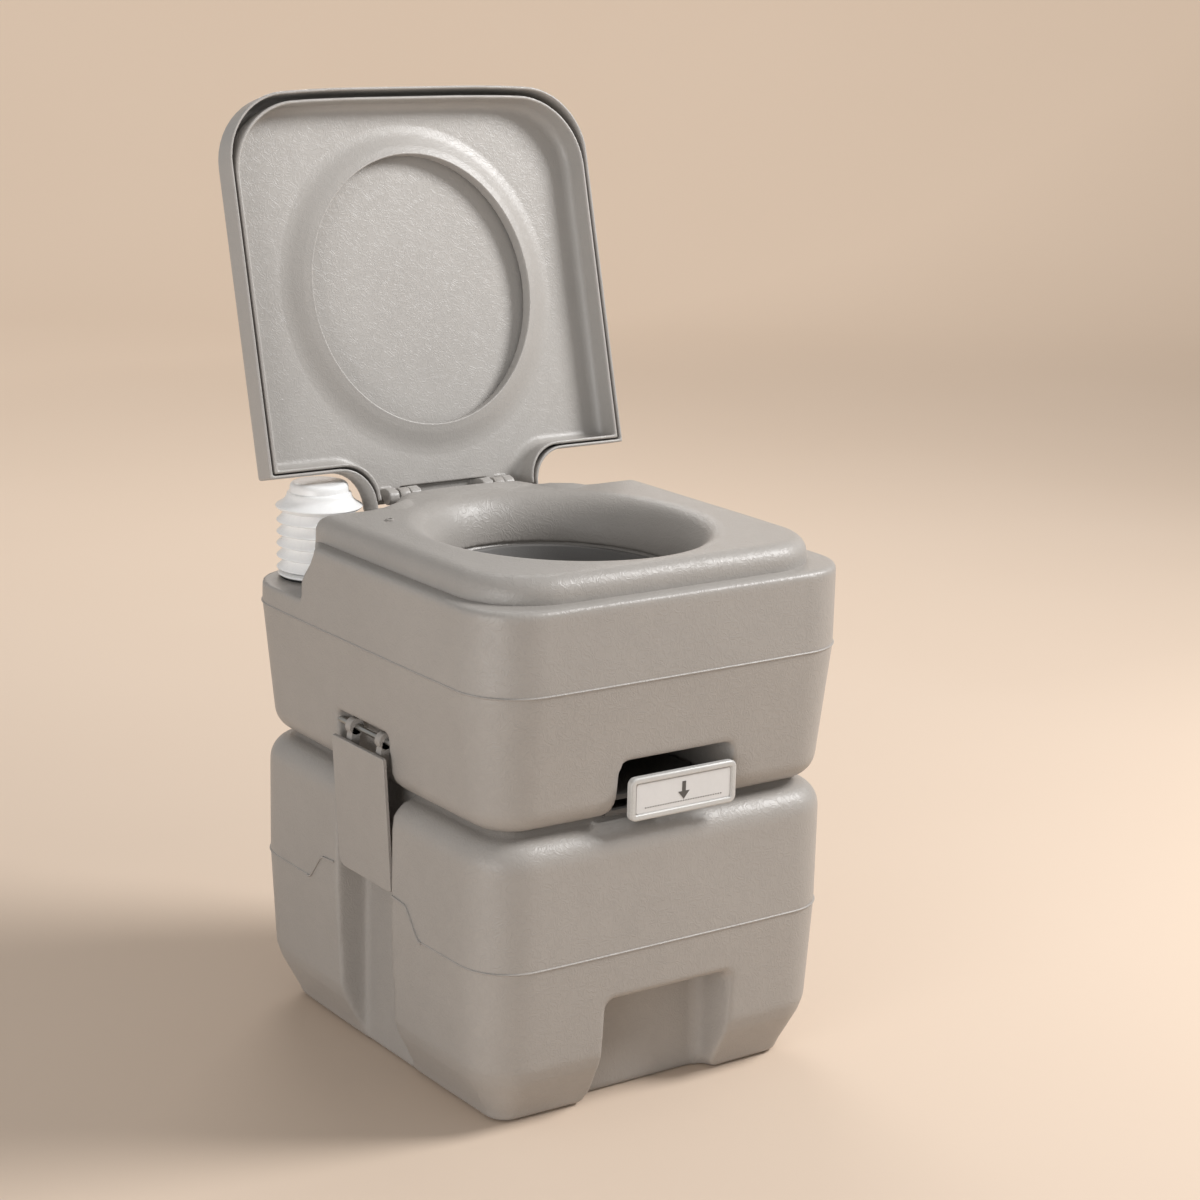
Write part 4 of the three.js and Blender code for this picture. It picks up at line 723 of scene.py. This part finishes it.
def flap_outline(name, form, height):
    """The flap's outline with its tab towards the hinge."""
    half, front, back = form["half"], form["front"], form["back"]
    tab, tab_back = form["tab"], form["tab_back"]
    bpy.ops.mesh.primitive_grid_add(x_subdivisions=3, y_subdivisions=2, size=2, location=(0, 0, height))
    piece = begin(name)
    resize(half, 1, 1, (0, 0, height))
    pick("VERT", lambda co: abs(co.x) < half / 2)
    resize(3 * tab / half, 1, 1, (0, 0, height))
    for mark, place in ((-1, front), (0, back), (1, tab_back)):
        pick("VERT", lambda co: near(co.y, mark))
        bpy.ops.transform.translate(value=(0, place - mark, 0))
    pick("FACE", lambda centre, normal: abs(centre.x) > tab and centre.y > back)
    bpy.ops.mesh.delete(type="FACE")
    bpy.ops.mesh.select_all(action="SELECT")
    bpy.ops.mesh.dissolve_faces()
    pick("VERT", lambda co: near(co.y, front) and abs(co.x) > tab + 0.01)
    bpy.ops.transform.translate(value=(0, form["bow"], 0))
    bpy.ops.mesh.bevel(offset=form["corner"], segments=12, affect="VERTICES")
    pick("VERT", lambda co: near(co.y, front) and near(abs(co.x), tab))
    bpy.ops.mesh.bevel(offset=0.026, segments=6, affect="VERTICES")
    pick("VERT", lambda co: near(co.y, back) and near(abs(co.x), tab))
    bpy.ops.mesh.bevel(offset=form["tab_corner"], segments=10, affect="VERTICES")
    bpy.ops.mesh.select_mode(type="FACE")
    bpy.ops.mesh.select_all(action="SELECT")
    return piece


def flap_shell(name, form):
    """A shallow shell with a round edge, drawn closed with its hollow side down."""
    rim = form["rim"]
    flap_outline(name, form, rim)
    extrude(z=form["height"] - form["round"])
    rounded(form["round"], 8)
    shell = end(0)
    wall = form["wall"]
    hollow = dict(form, half=form["half"] - wall, front=form["front"] + wall, back=form["back"] - wall,
                  tab=form["tab"] - wall, tab_back=form["tab_back"] + 0.05, corner=form["corner"] - wall,
                  tab_corner=form["tab_corner"] + wall)
    flap_outline(name + "_hollow", hollow, rim - over)
    extrude(z=over + form["height"] - form["sheet"] - (form["round"] - wall))
    rounded(form["round"] - wall, 8)
    space = end(0)
    cut(shell, space)
    remove(space)
    return shell


lid_form = {
    "half": 0.1825, "front": -0.2065, "back": 0.1235, "tab": 0.085, "tab_back": 0.160, "bow": 0.005,
    "corner": 0.058, "tab_corner": 0.030, "height": 0.032, "round": 0.012, "wall": 0.0026, "sheet": 0.0026,
    "rim": 0.4346,
}
seat_form = {
    "half": 0.1775, "front": -0.198, "back": 0.1195, "tab": 0.081, "tab_back": 0.152, "bow": 0.004,
    "corner": 0.062, "tab_corner": 0.029, "height": 0.0275, "round": 0.011, "wall": 0.003, "sheet": 0.0035,
    "rim": 0.4346,
}


def knuckles(span, arm_high):
    """A flap's two knuckles, each with the arm that joins it to the flap's sheet."""
    arm_front = 0.1418
    pieces = []
    for side in (-1, 1):
        middle, width = side * (span[0] + span[1]) / 2, span[1] - span[0]
        bpy.ops.mesh.primitive_cylinder_add(
            vertices=40, radius=hinge["radius"], depth=width, location=(middle, hinge["y"], hinge["z"]),
            rotation=(0, math.pi / 2, 0))
        begin("knuckle")
        pieces.append(end())
        block("arm", (middle - width / 2, arm_front, hinge["z"]), (middle + width / 2, hinge["y"], arm_high))
        pieces.append(end())
    return pieces


def seat_and_lid():
    """Both flaps, drawn closed and then swung up about the hinge."""
    fine = 0.0011
    seat = flap_shell("seat_shell", seat_form)
    under = seat_form["rim"] + seat_form["height"] - seat_form["sheet"]
    middle = (0, opening["middle"])
    hole_x, hole_y = 0.1105, 0.1195
    # A collar round the hole: a thin rim, a broad slope and a soft valley where it meets the sheet
    slope = [(0.0000, 0.0086), (0.0007, 0.0092), (0.0013, 0.0086), (0.0040, 0.0078), (0.0080, 0.0064),
             (0.0115, 0.0048), (0.0145, 0.0035), (0.0170, 0.0024), (0.0195, 0.0015), (0.0225, 0.0007),
             (0.0265, 0.0001), (0.0290, -0.0006)]
    levels = [(under - drop, hole_x + out, hole_y + out) for out, drop in slope]
    sunk, reach = under + 0.0032, slope[-1][0]
    levels += [(sunk, hole_x + reach, hole_y + reach), (sunk, hole_x, hole_y), levels[0]]
    collar = rings("seat_collar", middle, levels, 96, True)
    wide_x, wide_y = hole_x + 0.004, hole_y + 0.004
    hole = rings("seat_hole", middle, [(under - over, wide_x, wide_y), (under + over, wide_x, wide_y)], 96)
    cut(seat, hole)
    cut(seat, collar, operation="UNION")
    block("hinge_slot", (-0.045, 0.1412, 0.40), (0.045, 0.20, 0.50))
    slot = end(0)
    cut(seat, slot)
    seat_arms = knuckles(hinge["seat"], under + 0.0015)
    cut(seat, *seat_arms, operation="UNION")
    remove(collar, hole, slot, *seat_arms)
    softened(seat, fine, 3, 170000)
    lid = flap_shell("lid_shell", lid_form)
    lid_arms = knuckles(hinge["lid"], lid_form["rim"] + lid_form["height"] - 0.001)
    cut(lid, *lid_arms, operation="UNION")
    remove(*lid_arms)
    softened(lid, fine, 2, 170000)
    for piece in (seat, lid):
        turn(piece, -hinge["swing"], "X", (0, hinge["y"], hinge["z"]))
        bpy.ops.object.shade_smooth()
    return seat, lid


def pump_pieces():
    """The pump's bellows, its stepped top and its foot."""
    x, y = pump["x"], pump["y"]
    # One rib as radius and share of the pitch: a steep underside, a thin rim, a long slope back in
    rib = ((0.0300, 0.00), (0.0304, 0.05), (0.0330, 0.11), (0.0356, 0.17), (0.0365, 0.21), (0.0368, 0.25),
           (0.0366, 0.29), (0.0356, 0.37), (0.0338, 0.53), (0.0320, 0.73), (0.0306, 0.91))
    outside = [(radius, pump["low"] + (number + share) * pump["pitch"])
               for number in range(pump["ribs"]) for radius, share in rib]
    outside.append((rib[0][0], pump["low"] + pump["ribs"] * pump["pitch"]))
    inside = [(radius - pump["wall"], high) for radius, high in reversed(outside)]
    bellows = lathed("pump_bellows_skin", (x, y), outside + inside + outside[:1], True)
    crown_low = 0.4423
    profile = [(0.0312, 0.0), (0.0330, 0.0006), (0.0356, 0.0021), (0.0373, 0.0036), (0.0377, 0.0044),
               (0.0374, 0.0051), (0.0356, 0.0062), (0.0325, 0.0080), (0.0300, 0.0103), (0.0287, 0.0122),
               (0.0281, 0.0140), (0.0278, 0.0156), (0.0272, 0.0163), (0.0260, 0.0167), (0.0256, 0.0173),
               (0.0254, 0.0206), (0.0250, 0.0226), (0.0239, 0.0242), (0.0222, 0.0251), (0.0200, 0.0254),
               (0.0120, 0.0256), (0.0030, 0.0257)]
    crown = lathed("pump_crown_skin", (x, y), [(radius, crown_low + high) for radius, high in profile])
    base_profile = [(0.0260, 0.3562), (0.0260, 0.3861), (0.0335, 0.3862), (0.0350, 0.3866), (0.0356, 0.3876),
                    (0.0354, 0.3884), (0.0340, 0.3892), (0.0318, 0.3896), (0.0240, 0.3896)]
    base = lathed("pump_foot", (x, y), base_profile)
    return bellows, crown, base


def latch_pieces():
    """The left latch: a leaning plate, two ears round its pin, and the hook behind it."""
    front, rear, low, high = latch_y - 0.042, latch_y + 0.042, 0.165, 0.281
    face, pin_x, pin_z = -0.1819, -0.170, 0.291
    plate = block("latch_left_plate", (face, front, low), (-0.1784, rear, high))
    for y, z, radius in ((front, low, 0.003), (rear, low, 0.009), (front, high, 0.002), (rear, high, 0.002)):
        pick("EDGE", lambda centre, way: near(centre.y, y) and near(centre.z, z) and abs(way.x) > 0.001)
        bpy.ops.mesh.bevel(offset=radius, segments=6, affect="EDGES")
    end()
    change(plate, "BEVEL", width=0.0006, segments=3, limit_method="ANGLE", angle_limit=math.radians(50))
    turn(plate, -3.95, "Y", (face, 0, high))
    extras = []
    width, arm_top = 0.008, 0.279
    for side in (-1, 1):
        middle = latch_y + side * 0.024
        bpy.ops.mesh.primitive_cylinder_add(
            vertices=40, radius=0.007, depth=width, location=(pin_x, middle, pin_z),
            rotation=(math.pi / 2, 0, 0))
        begin("latch_ear")
        extras.append(end())
        block("latch_arm", (-0.1785, middle - width / 2, 0.264), (pin_x, middle + width / 2, arm_top))
        pick("VERT", lambda co: near(co.z, arm_top))
        bpy.ops.transform.translate(value=(0.0045, 0, pin_z - arm_top))
        extras.append(end())
    hook_in, hook_low = -0.1624, 0.168
    block("latch_hook", (-0.1718, latch_y - 0.010, hook_low), (hook_in, latch_y + 0.010, 0.179))
    pick("VERT", lambda co: near(co.x, hook_in) and near(co.z, hook_low))
    bpy.ops.transform.translate(value=(0, 0, 0.003))
    extras.append(end())
    plate = joined(plate, *extras)
    change(plate, "BEVEL", width=0.0003, segments=2, limit_method="ANGLE", angle_limit=math.radians(60))
    act(plate)
    bpy.ops.object.shade_smooth_by_angle(angle=math.radians(35))
    return plate


def handle_pieces():
    """The pull handle's frame, the plate sunk in it, and the plate's plain marks."""
    half, middle_z = 0.0525, 0.2693
    plate = block("handle_plate", (handle_x - half, -0.2035, middle_z - 0.018),
                  (handle_x + half, -0.1985, middle_z + 0.018))
    pick("EDGE", lambda centre, way: abs(way.y) > abs(way.x) + abs(way.z))
    bpy.ops.mesh.bevel(offset=0.006, segments=8, affect="EDGES")
    pick("FACE", lambda centre, normal: normal.y < -0.9)
    inset(0.0012, 0.0009)
    inset(0.0033, 0)
    inset(0.0010, -0.0016)
    end()
    change(plate, "BEVEL", width=0.0005, segments=3, limit_method="ANGLE", angle_limit=math.radians(28))
    bpy.ops.mesh.primitive_cylinder_add(
        vertices=40, radius=0.007, depth=0.012, location=(handle_x, -0.1925, middle_z),
        rotation=(math.pi / 2, 0, 0))
    begin("handle_boss")
    boss = end()
    plate = joined(plate, boss)
    half = 0.0467
    label = block("label_plate", (handle_x - half, -0.20335, middle_z - 0.0122),
                  (handle_x + half, -0.2021, middle_z + 0.0122))
    pick("EDGE", lambda centre, way: abs(way.y) > abs(way.x) + abs(way.z))
    bpy.ops.mesh.bevel(offset=0.002, segments=5, affect="EDGES")
    end()
    # A plain arrow and a dotted line under it
    front, thick = -0.2036, 0.0003
    marks = []
    bpy.ops.mesh.primitive_circle_add(vertices=3, radius=0.0052, fill_type="NGON", location=(0, 0, 0))
    begin("arrow_head")
    bpy.ops.transform.resize(value=(1.25, 0.85, 1))
    extrude(z=thick)
    head = end()
    head.rotation_euler = (math.pi / 2, math.pi, 0)
    head.location = (handle_x, front + thick, 0.2672)
    act(head)
    bpy.ops.object.transform_apply(location=True, rotation=True, scale=True)
    marks.append(head)
    block("arrow_shaft", (handle_x - 0.0018, front, 0.2690), (handle_x + 0.0018, front + thick, 0.2775))
    marks.append(end())
    count, spacing = 31, 0.0025
    first = handle_x - spacing * (count - 1) / 2
    bpy.ops.mesh.primitive_cylinder_add(
        vertices=12, radius=0.00055, depth=thick, location=(first, front + thick / 2, 0.2612),
        rotation=(math.pi / 2, 0, 0))
    begin("dot")
    dots = end()
    change(dots, "ARRAY", count=count, use_relative_offset=False, use_constant_offset=True,
           constant_offset_displace=(spacing, 0, 0))
    marks.append(dots)
    return plate, label, joined(*marks)


def cap_piece(name):
    """A screw cap with finger grooves, drawn upright at the origin with the neck's foot at zero."""
    outer, top = 0.0285, 0.0176
    bpy.ops.mesh.primitive_circle_add(vertices=90, radius=outer, fill_type="NGON", location=(0, 0, 0.002))
    piece = begin(name)
    bpy.ops.mesh.select_all(action="DESELECT")
    pick("VERT", lambda co: math.degrees(math.atan2(co.y, co.x)) % 40 < 17.9)
    resize(0.945, 0.945, 1, (0, 0, 0.002))
    bpy.ops.mesh.select_mode(type="FACE")
    bpy.ops.mesh.select_all(action="SELECT")
    size = outer
    for next_size, rise in ((outer, top - 0.0035), (outer - 0.0006, 0.0011), (outer - 0.002, 0.0004),
                            (outer - 0.007, 0), (outer - 0.0082, -0.0012)):
        extrude(z=rise)
        resize(next_size / size, next_size / size, 1, (0, 0, 0))
        size = next_size
    end(40)
    bpy.ops.mesh.primitive_cylinder_add(vertices=64, radius=0.025, depth=0.0125, location=(0, 0, 0.0072))
    begin("cap_inside")
    space = end(0)
    cut(piece, space)
    remove(space)
    block("cap_bar", (-0.0165, -0.0028, top - 0.0030), (0.0165, 0.0028, top + 0.0004))
    pick("EDGE", lambda centre, way: centre.z > top - 0.001 or abs(way.z) > 0.001)
    bpy.ops.mesh.bevel(offset=0.001, segments=3, affect="EDGES")
    bar = end()
    return joined(piece, bar)


def neck(name):
    """The collar that a screw cap sits on."""
    profile = [(0.0262, -0.0010), (0.0250, 0.0), (0.0245, 0.0010), (0.0245, 0.0115), (0.0240, 0.0120),
               (0.0215, 0.0120), (0.0210, 0.0115), (0.0210, -0.0030), (0.0262, -0.0030), (0.0262, -0.0010)]
    return lathed(name, (0, 0), profile, True)


def nozzle_lip():
    """The small spout in the deck's rim, with a black disc as painted shade in its opening."""
    bpy.ops.mesh.primitive_uv_sphere_add(segments=40, ring_count=20, radius=1, location=(0, 0, 0))
    lip = begin("nozzle_lip")
    resize(0.0066, 0.0290, 0.0028, (0, 0, 0))
    pick("VERT", lambda co: co.y > 0.017)
    resize(1.15, 0.35, 1.0, (0, 0.017, 0))
    end()
    turn(lip, 2, "X", (0, 0, 0))
    turn(lip, -13, "Z", (0, 0, 0))
    placed(lip, (-0.1135, 0.0355, 0.4516))
    # The opening at its end: a low collar with a shallow mouth, and a black disc in it as painted shade for
    # the dark inside
    x, y, high = -0.1222, 0.0480, 0.4551
    bpy.ops.mesh.primitive_cylinder_add(vertices=32, radius=0.0036, depth=0.0022, location=(x, y, high))
    begin("nozzle_collar")
    pick("FACE", lambda centre, normal: normal.z > 0.9)
    inset(0.0005, 0.0004)
    inset(0.0008, 0.0001)
    inset(0.0002, -0.0011)
    collar = end(40)
    bpy.ops.mesh.primitive_cylinder_add(
        vertices=24, radius=0.0022, depth=0.0006, location=(x, y, high + 0.0001))
    begin("nozzle_shade_disc")
    pick("FACE", lambda centre, normal: normal.z > 0.9)
    inset(0.0008, -0.0002)
    hollow = end()
    return joined(lip, collar), hollow


upper, deck = fresh_tank()
lower = waste_tank()
lip, hollow = nozzle_lip()
finished(upper, "grey", "fresh_unit", "grey", "fresh_base", "fresh_walls", "fresh_well")
finished(deck, "grey", "fresh_unit", "grey", "fresh_deck")
finished(lower, "grey", "waste_unit", "grey", *[
    "waste_" + side for side in ("floor", "front", "back", "left", "right", "top")])
act(lip)
bpy.ops.object.shade_smooth_by_angle(angle=math.radians(40))
finished(lip, "grey", "fresh_unit", "grey")
# A black disc as painted shade inside the spout's opening
finished(hollow, "rubber", "fresh_unit", None)
finished(hinge_ears(), "grey", "fresh_unit", "grey")

finished(parting_ridge("upper_ridge", body["half_x"], body["half_y"], body["corner"], fresh["belt"]),
         "grey", "fresh_unit", "grey")
low_ridge = parting_ridge(
    "lower_ridge", body["half_x"] - waste["side_inset"], body["half_y"] - waste["side_inset"],
    body["corner"] - waste["side_inset"], waste["belt"])
# The line stops beside each latch channel, a millimetre inside the far ends of its jogs
half_gap = jog["start"] + jog["reach"] - 0.001
for side in (-1, 1):
    block("ridge_gap", (side * 0.178 - 0.02, latch_y - half_gap, 0.12),
          (side * 0.178 + 0.02, latch_y + half_gap, 0.16))
    gap = end(0)
    cut(low_ridge, gap)
    remove(gap)
jogs = []
for away in (-1, 1):
    left_jog = ridge_jog(away)
    jogs += [left_jog, copied(left_jog, "ridge_jog_right", (-1, 1, 1))]
finished(joined(low_ridge, *jogs), "grey", "waste_unit", "grey")

# The bowl insert gets the dark grey of painted shade in place of its pale grey
finished(bowl_piece(), "bowl_shade_grey", "fresh_unit", "pale_grey", "bowl")
seat, lid = seat_and_lid()
finished(seat, "pale_grey", "seat_flap", "pale_grey", "seat")
finished(lid, "pale_grey", "lid_flap", "pale_grey", "lid")

bellows, crown, base = pump_pieces()
finished(bellows, "white", "fresh_unit", "white", "pump_bellows")
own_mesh(bellows)
finished(crown, "white", "pump_top", "white", "pump_crown")
finished(base, "white", "fresh_unit", "white", "pump_base")

left_latch = latch_pieces()
right_latch = copied(left_latch, "latch_right_plate", (-1, 1, 1))
finished(left_latch, "grey", "left_latch", "grey", "latch_left")
finished(right_latch, "grey", "right_latch", "grey", "latch_right")

plate, label, marks = handle_pieces()
finished(plate, "frame", "valve_slide", "white", "pull_handle")
finished(label, "label", "valve_slide", "white", "pull_label")
finished(marks, "dark_grey", "valve_slide", None)

filler = cap_piece("filler_screw_cap")
drain = copied(filler, "drain_screw_cap")
filler_neck = neck("filler_neck")
drain_neck = copied(filler_neck, "drain_neck")
for piece in (filler, filler_neck):
    placed(piece, filler_place)
for piece in (drain, drain_neck):
    placed(piece, drain_place, -90)
finished(filler, "dark_grey", "filler_turn", "dark_grey", "filler_cap")
finished(drain, "dark_grey", "drain_turn", "dark_grey", "drain_cap")
finished(filler_neck, "grey", "fresh_unit", "grey")
finished(drain_neck, "grey", "waste_unit", "grey")

# The pieces inside keep their shape and get a finish
kept = {
    "rubber": ("valve_lower_seal", "valve_upper_seal", "bowl_seal", "pump_gasket", "pump_inlet_valve",
               "filler_gasket", "drain_gasket"),
    "steel": ("valve_screw_1", "valve_screw_2", "valve_screw_3", "valve_screw_4", "pull_rod",
              "latch_pin_left", "latch_pin_right", "hinge_pin_left", "hinge_pin_right"),
    "clear": ("pickup_tube", "flush_hose"),
    "dark_grey": ("foot_strainer", "flush_nozzle", "valve_base", "valve_cover"),
    "white": ("valve_blade",),
}
for paint, names in kept.items():
    for name in names:
        carried = bpy.data.objects[name]
        carried.data.materials.clear()
        carried.data.materials.append(look[paint])


# Camera, lights and floor

def camera():
    """The camera at the photograph's angle."""
    view = bpy.data.cameras.new("camera")
    view.sensor_width = 36
    view.lens = 81.33
    piece = bpy.data.objects.new("camera", view)
    bpy.context.collection.objects.link(piece)
    forward = Vector((0.5605, 0.7909, -0.2458)).normalized()
    up = Vector((0.1212, 0.2153, 0.969)).normalized()
    right = forward.cross(up).normalized()
    up = right.cross(forward)
    stand = Matrix.Translation((-1.2507, -1.8495, 0.9494))
    piece.matrix_world = stand @ Matrix((right, up, -forward)).transposed().to_4x4()
    bpy.context.scene.camera = piece


def lamp(name, place, target, size, power):
    """A round soft lamp, turned to its target."""
    light = bpy.data.lights.new(name, "AREA")
    light.shape = "DISK"
    light.size = size
    light.energy = power
    piece = bpy.data.objects.new(name, light)
    bpy.context.collection.objects.link(piece)
    piece.location = place
    piece.rotation_euler = (Vector(target) - Vector(place)).to_track_quat("-Z", "Y").to_euler()


def studio():
    """Soft light, and a pale floor that curves up into the backdrop."""
    world = bpy.data.worlds.new("studio")
    bpy.context.scene.world = world
    world.use_nodes = True
    background = world.node_tree.nodes["Background"].inputs
    background["Color"].default_value = (0.92, 0.92, 0.92, 1)
    background["Strength"].default_value = 0.44
    lamp("key", (1.85, -1.0, 2.1), (0, 0, 0.3), 1.0, 80)
    lamp("fill", (-2.4, -1.1, 0.30), (0, 0, 0.3), 1.8, 40)
    lamp("back", (0.9, 1.9, 1.9), (0, 0, 0.4), 1.4, 16)
    bpy.ops.mesh.primitive_plane_add(size=6, location=(0, 1, -0.0005))
    floor = begin("floor")
    floor_end, sweep, steps = 4.0, 1.6, 12
    pick("EDGE", lambda centre, way: near(centre.y, floor_end, 0.001) and abs(way.x) > 1)
    for step in range(steps):
        angle, turned_on = math.pi / 2 * step / steps, math.pi / 2 * (step + 1) / steps
        extrude_edges(y=sweep * (math.sin(turned_on) - math.sin(angle)),
                      z=sweep * (math.cos(angle) - math.cos(turned_on)))
    extrude_edges(z=3)
    end(60)
    turn(floor, -35.3, "Z", (0, 0, 0))
    bpy.ops.object.shade_smooth()
    paint = Paint("pale_floor")
    place = paint.node("ShaderNodeTexCoord", output=3)
    cloud = paint.noise(place, 1.2, 2)
    # Painted light: a pale glow on the far backdrop, growing with distance, for the camera and painted into
    # what mirrors it, and no light on the object
    depth = paint.node("ShaderNodeSeparateXYZ", None, {0: place}, 1)
    painted_glow_share = paint.node("ShaderNodeMapRange", {"clamp": True}, {0: depth, 1: 0.6, 2: 3.4, 3: 0.0, 4: 1.0})
    seen = sum(paint.node("ShaderNodeLightPath", output=way) for way in (
        "Is Camera Ray", "Is Glossy Ray", "Is Transmission Ray"))
    paint.shade(
        base_color=paint.mixed(cloud, (0.63, 0.50, 0.39, 1), (0.67, 0.54, 0.43, 1)),
        roughness=0.9,
        emission_color=paint.mixed(painted_glow_share * seen, (0, 0, 0, 1), (0.34, 0.265, 0.20, 1)),
        emission_strength=1.0,
    )
    floor.data.materials.append(paint.material)


camera()
studio()
bpy.context.scene.view_settings.view_transform = "Standard"
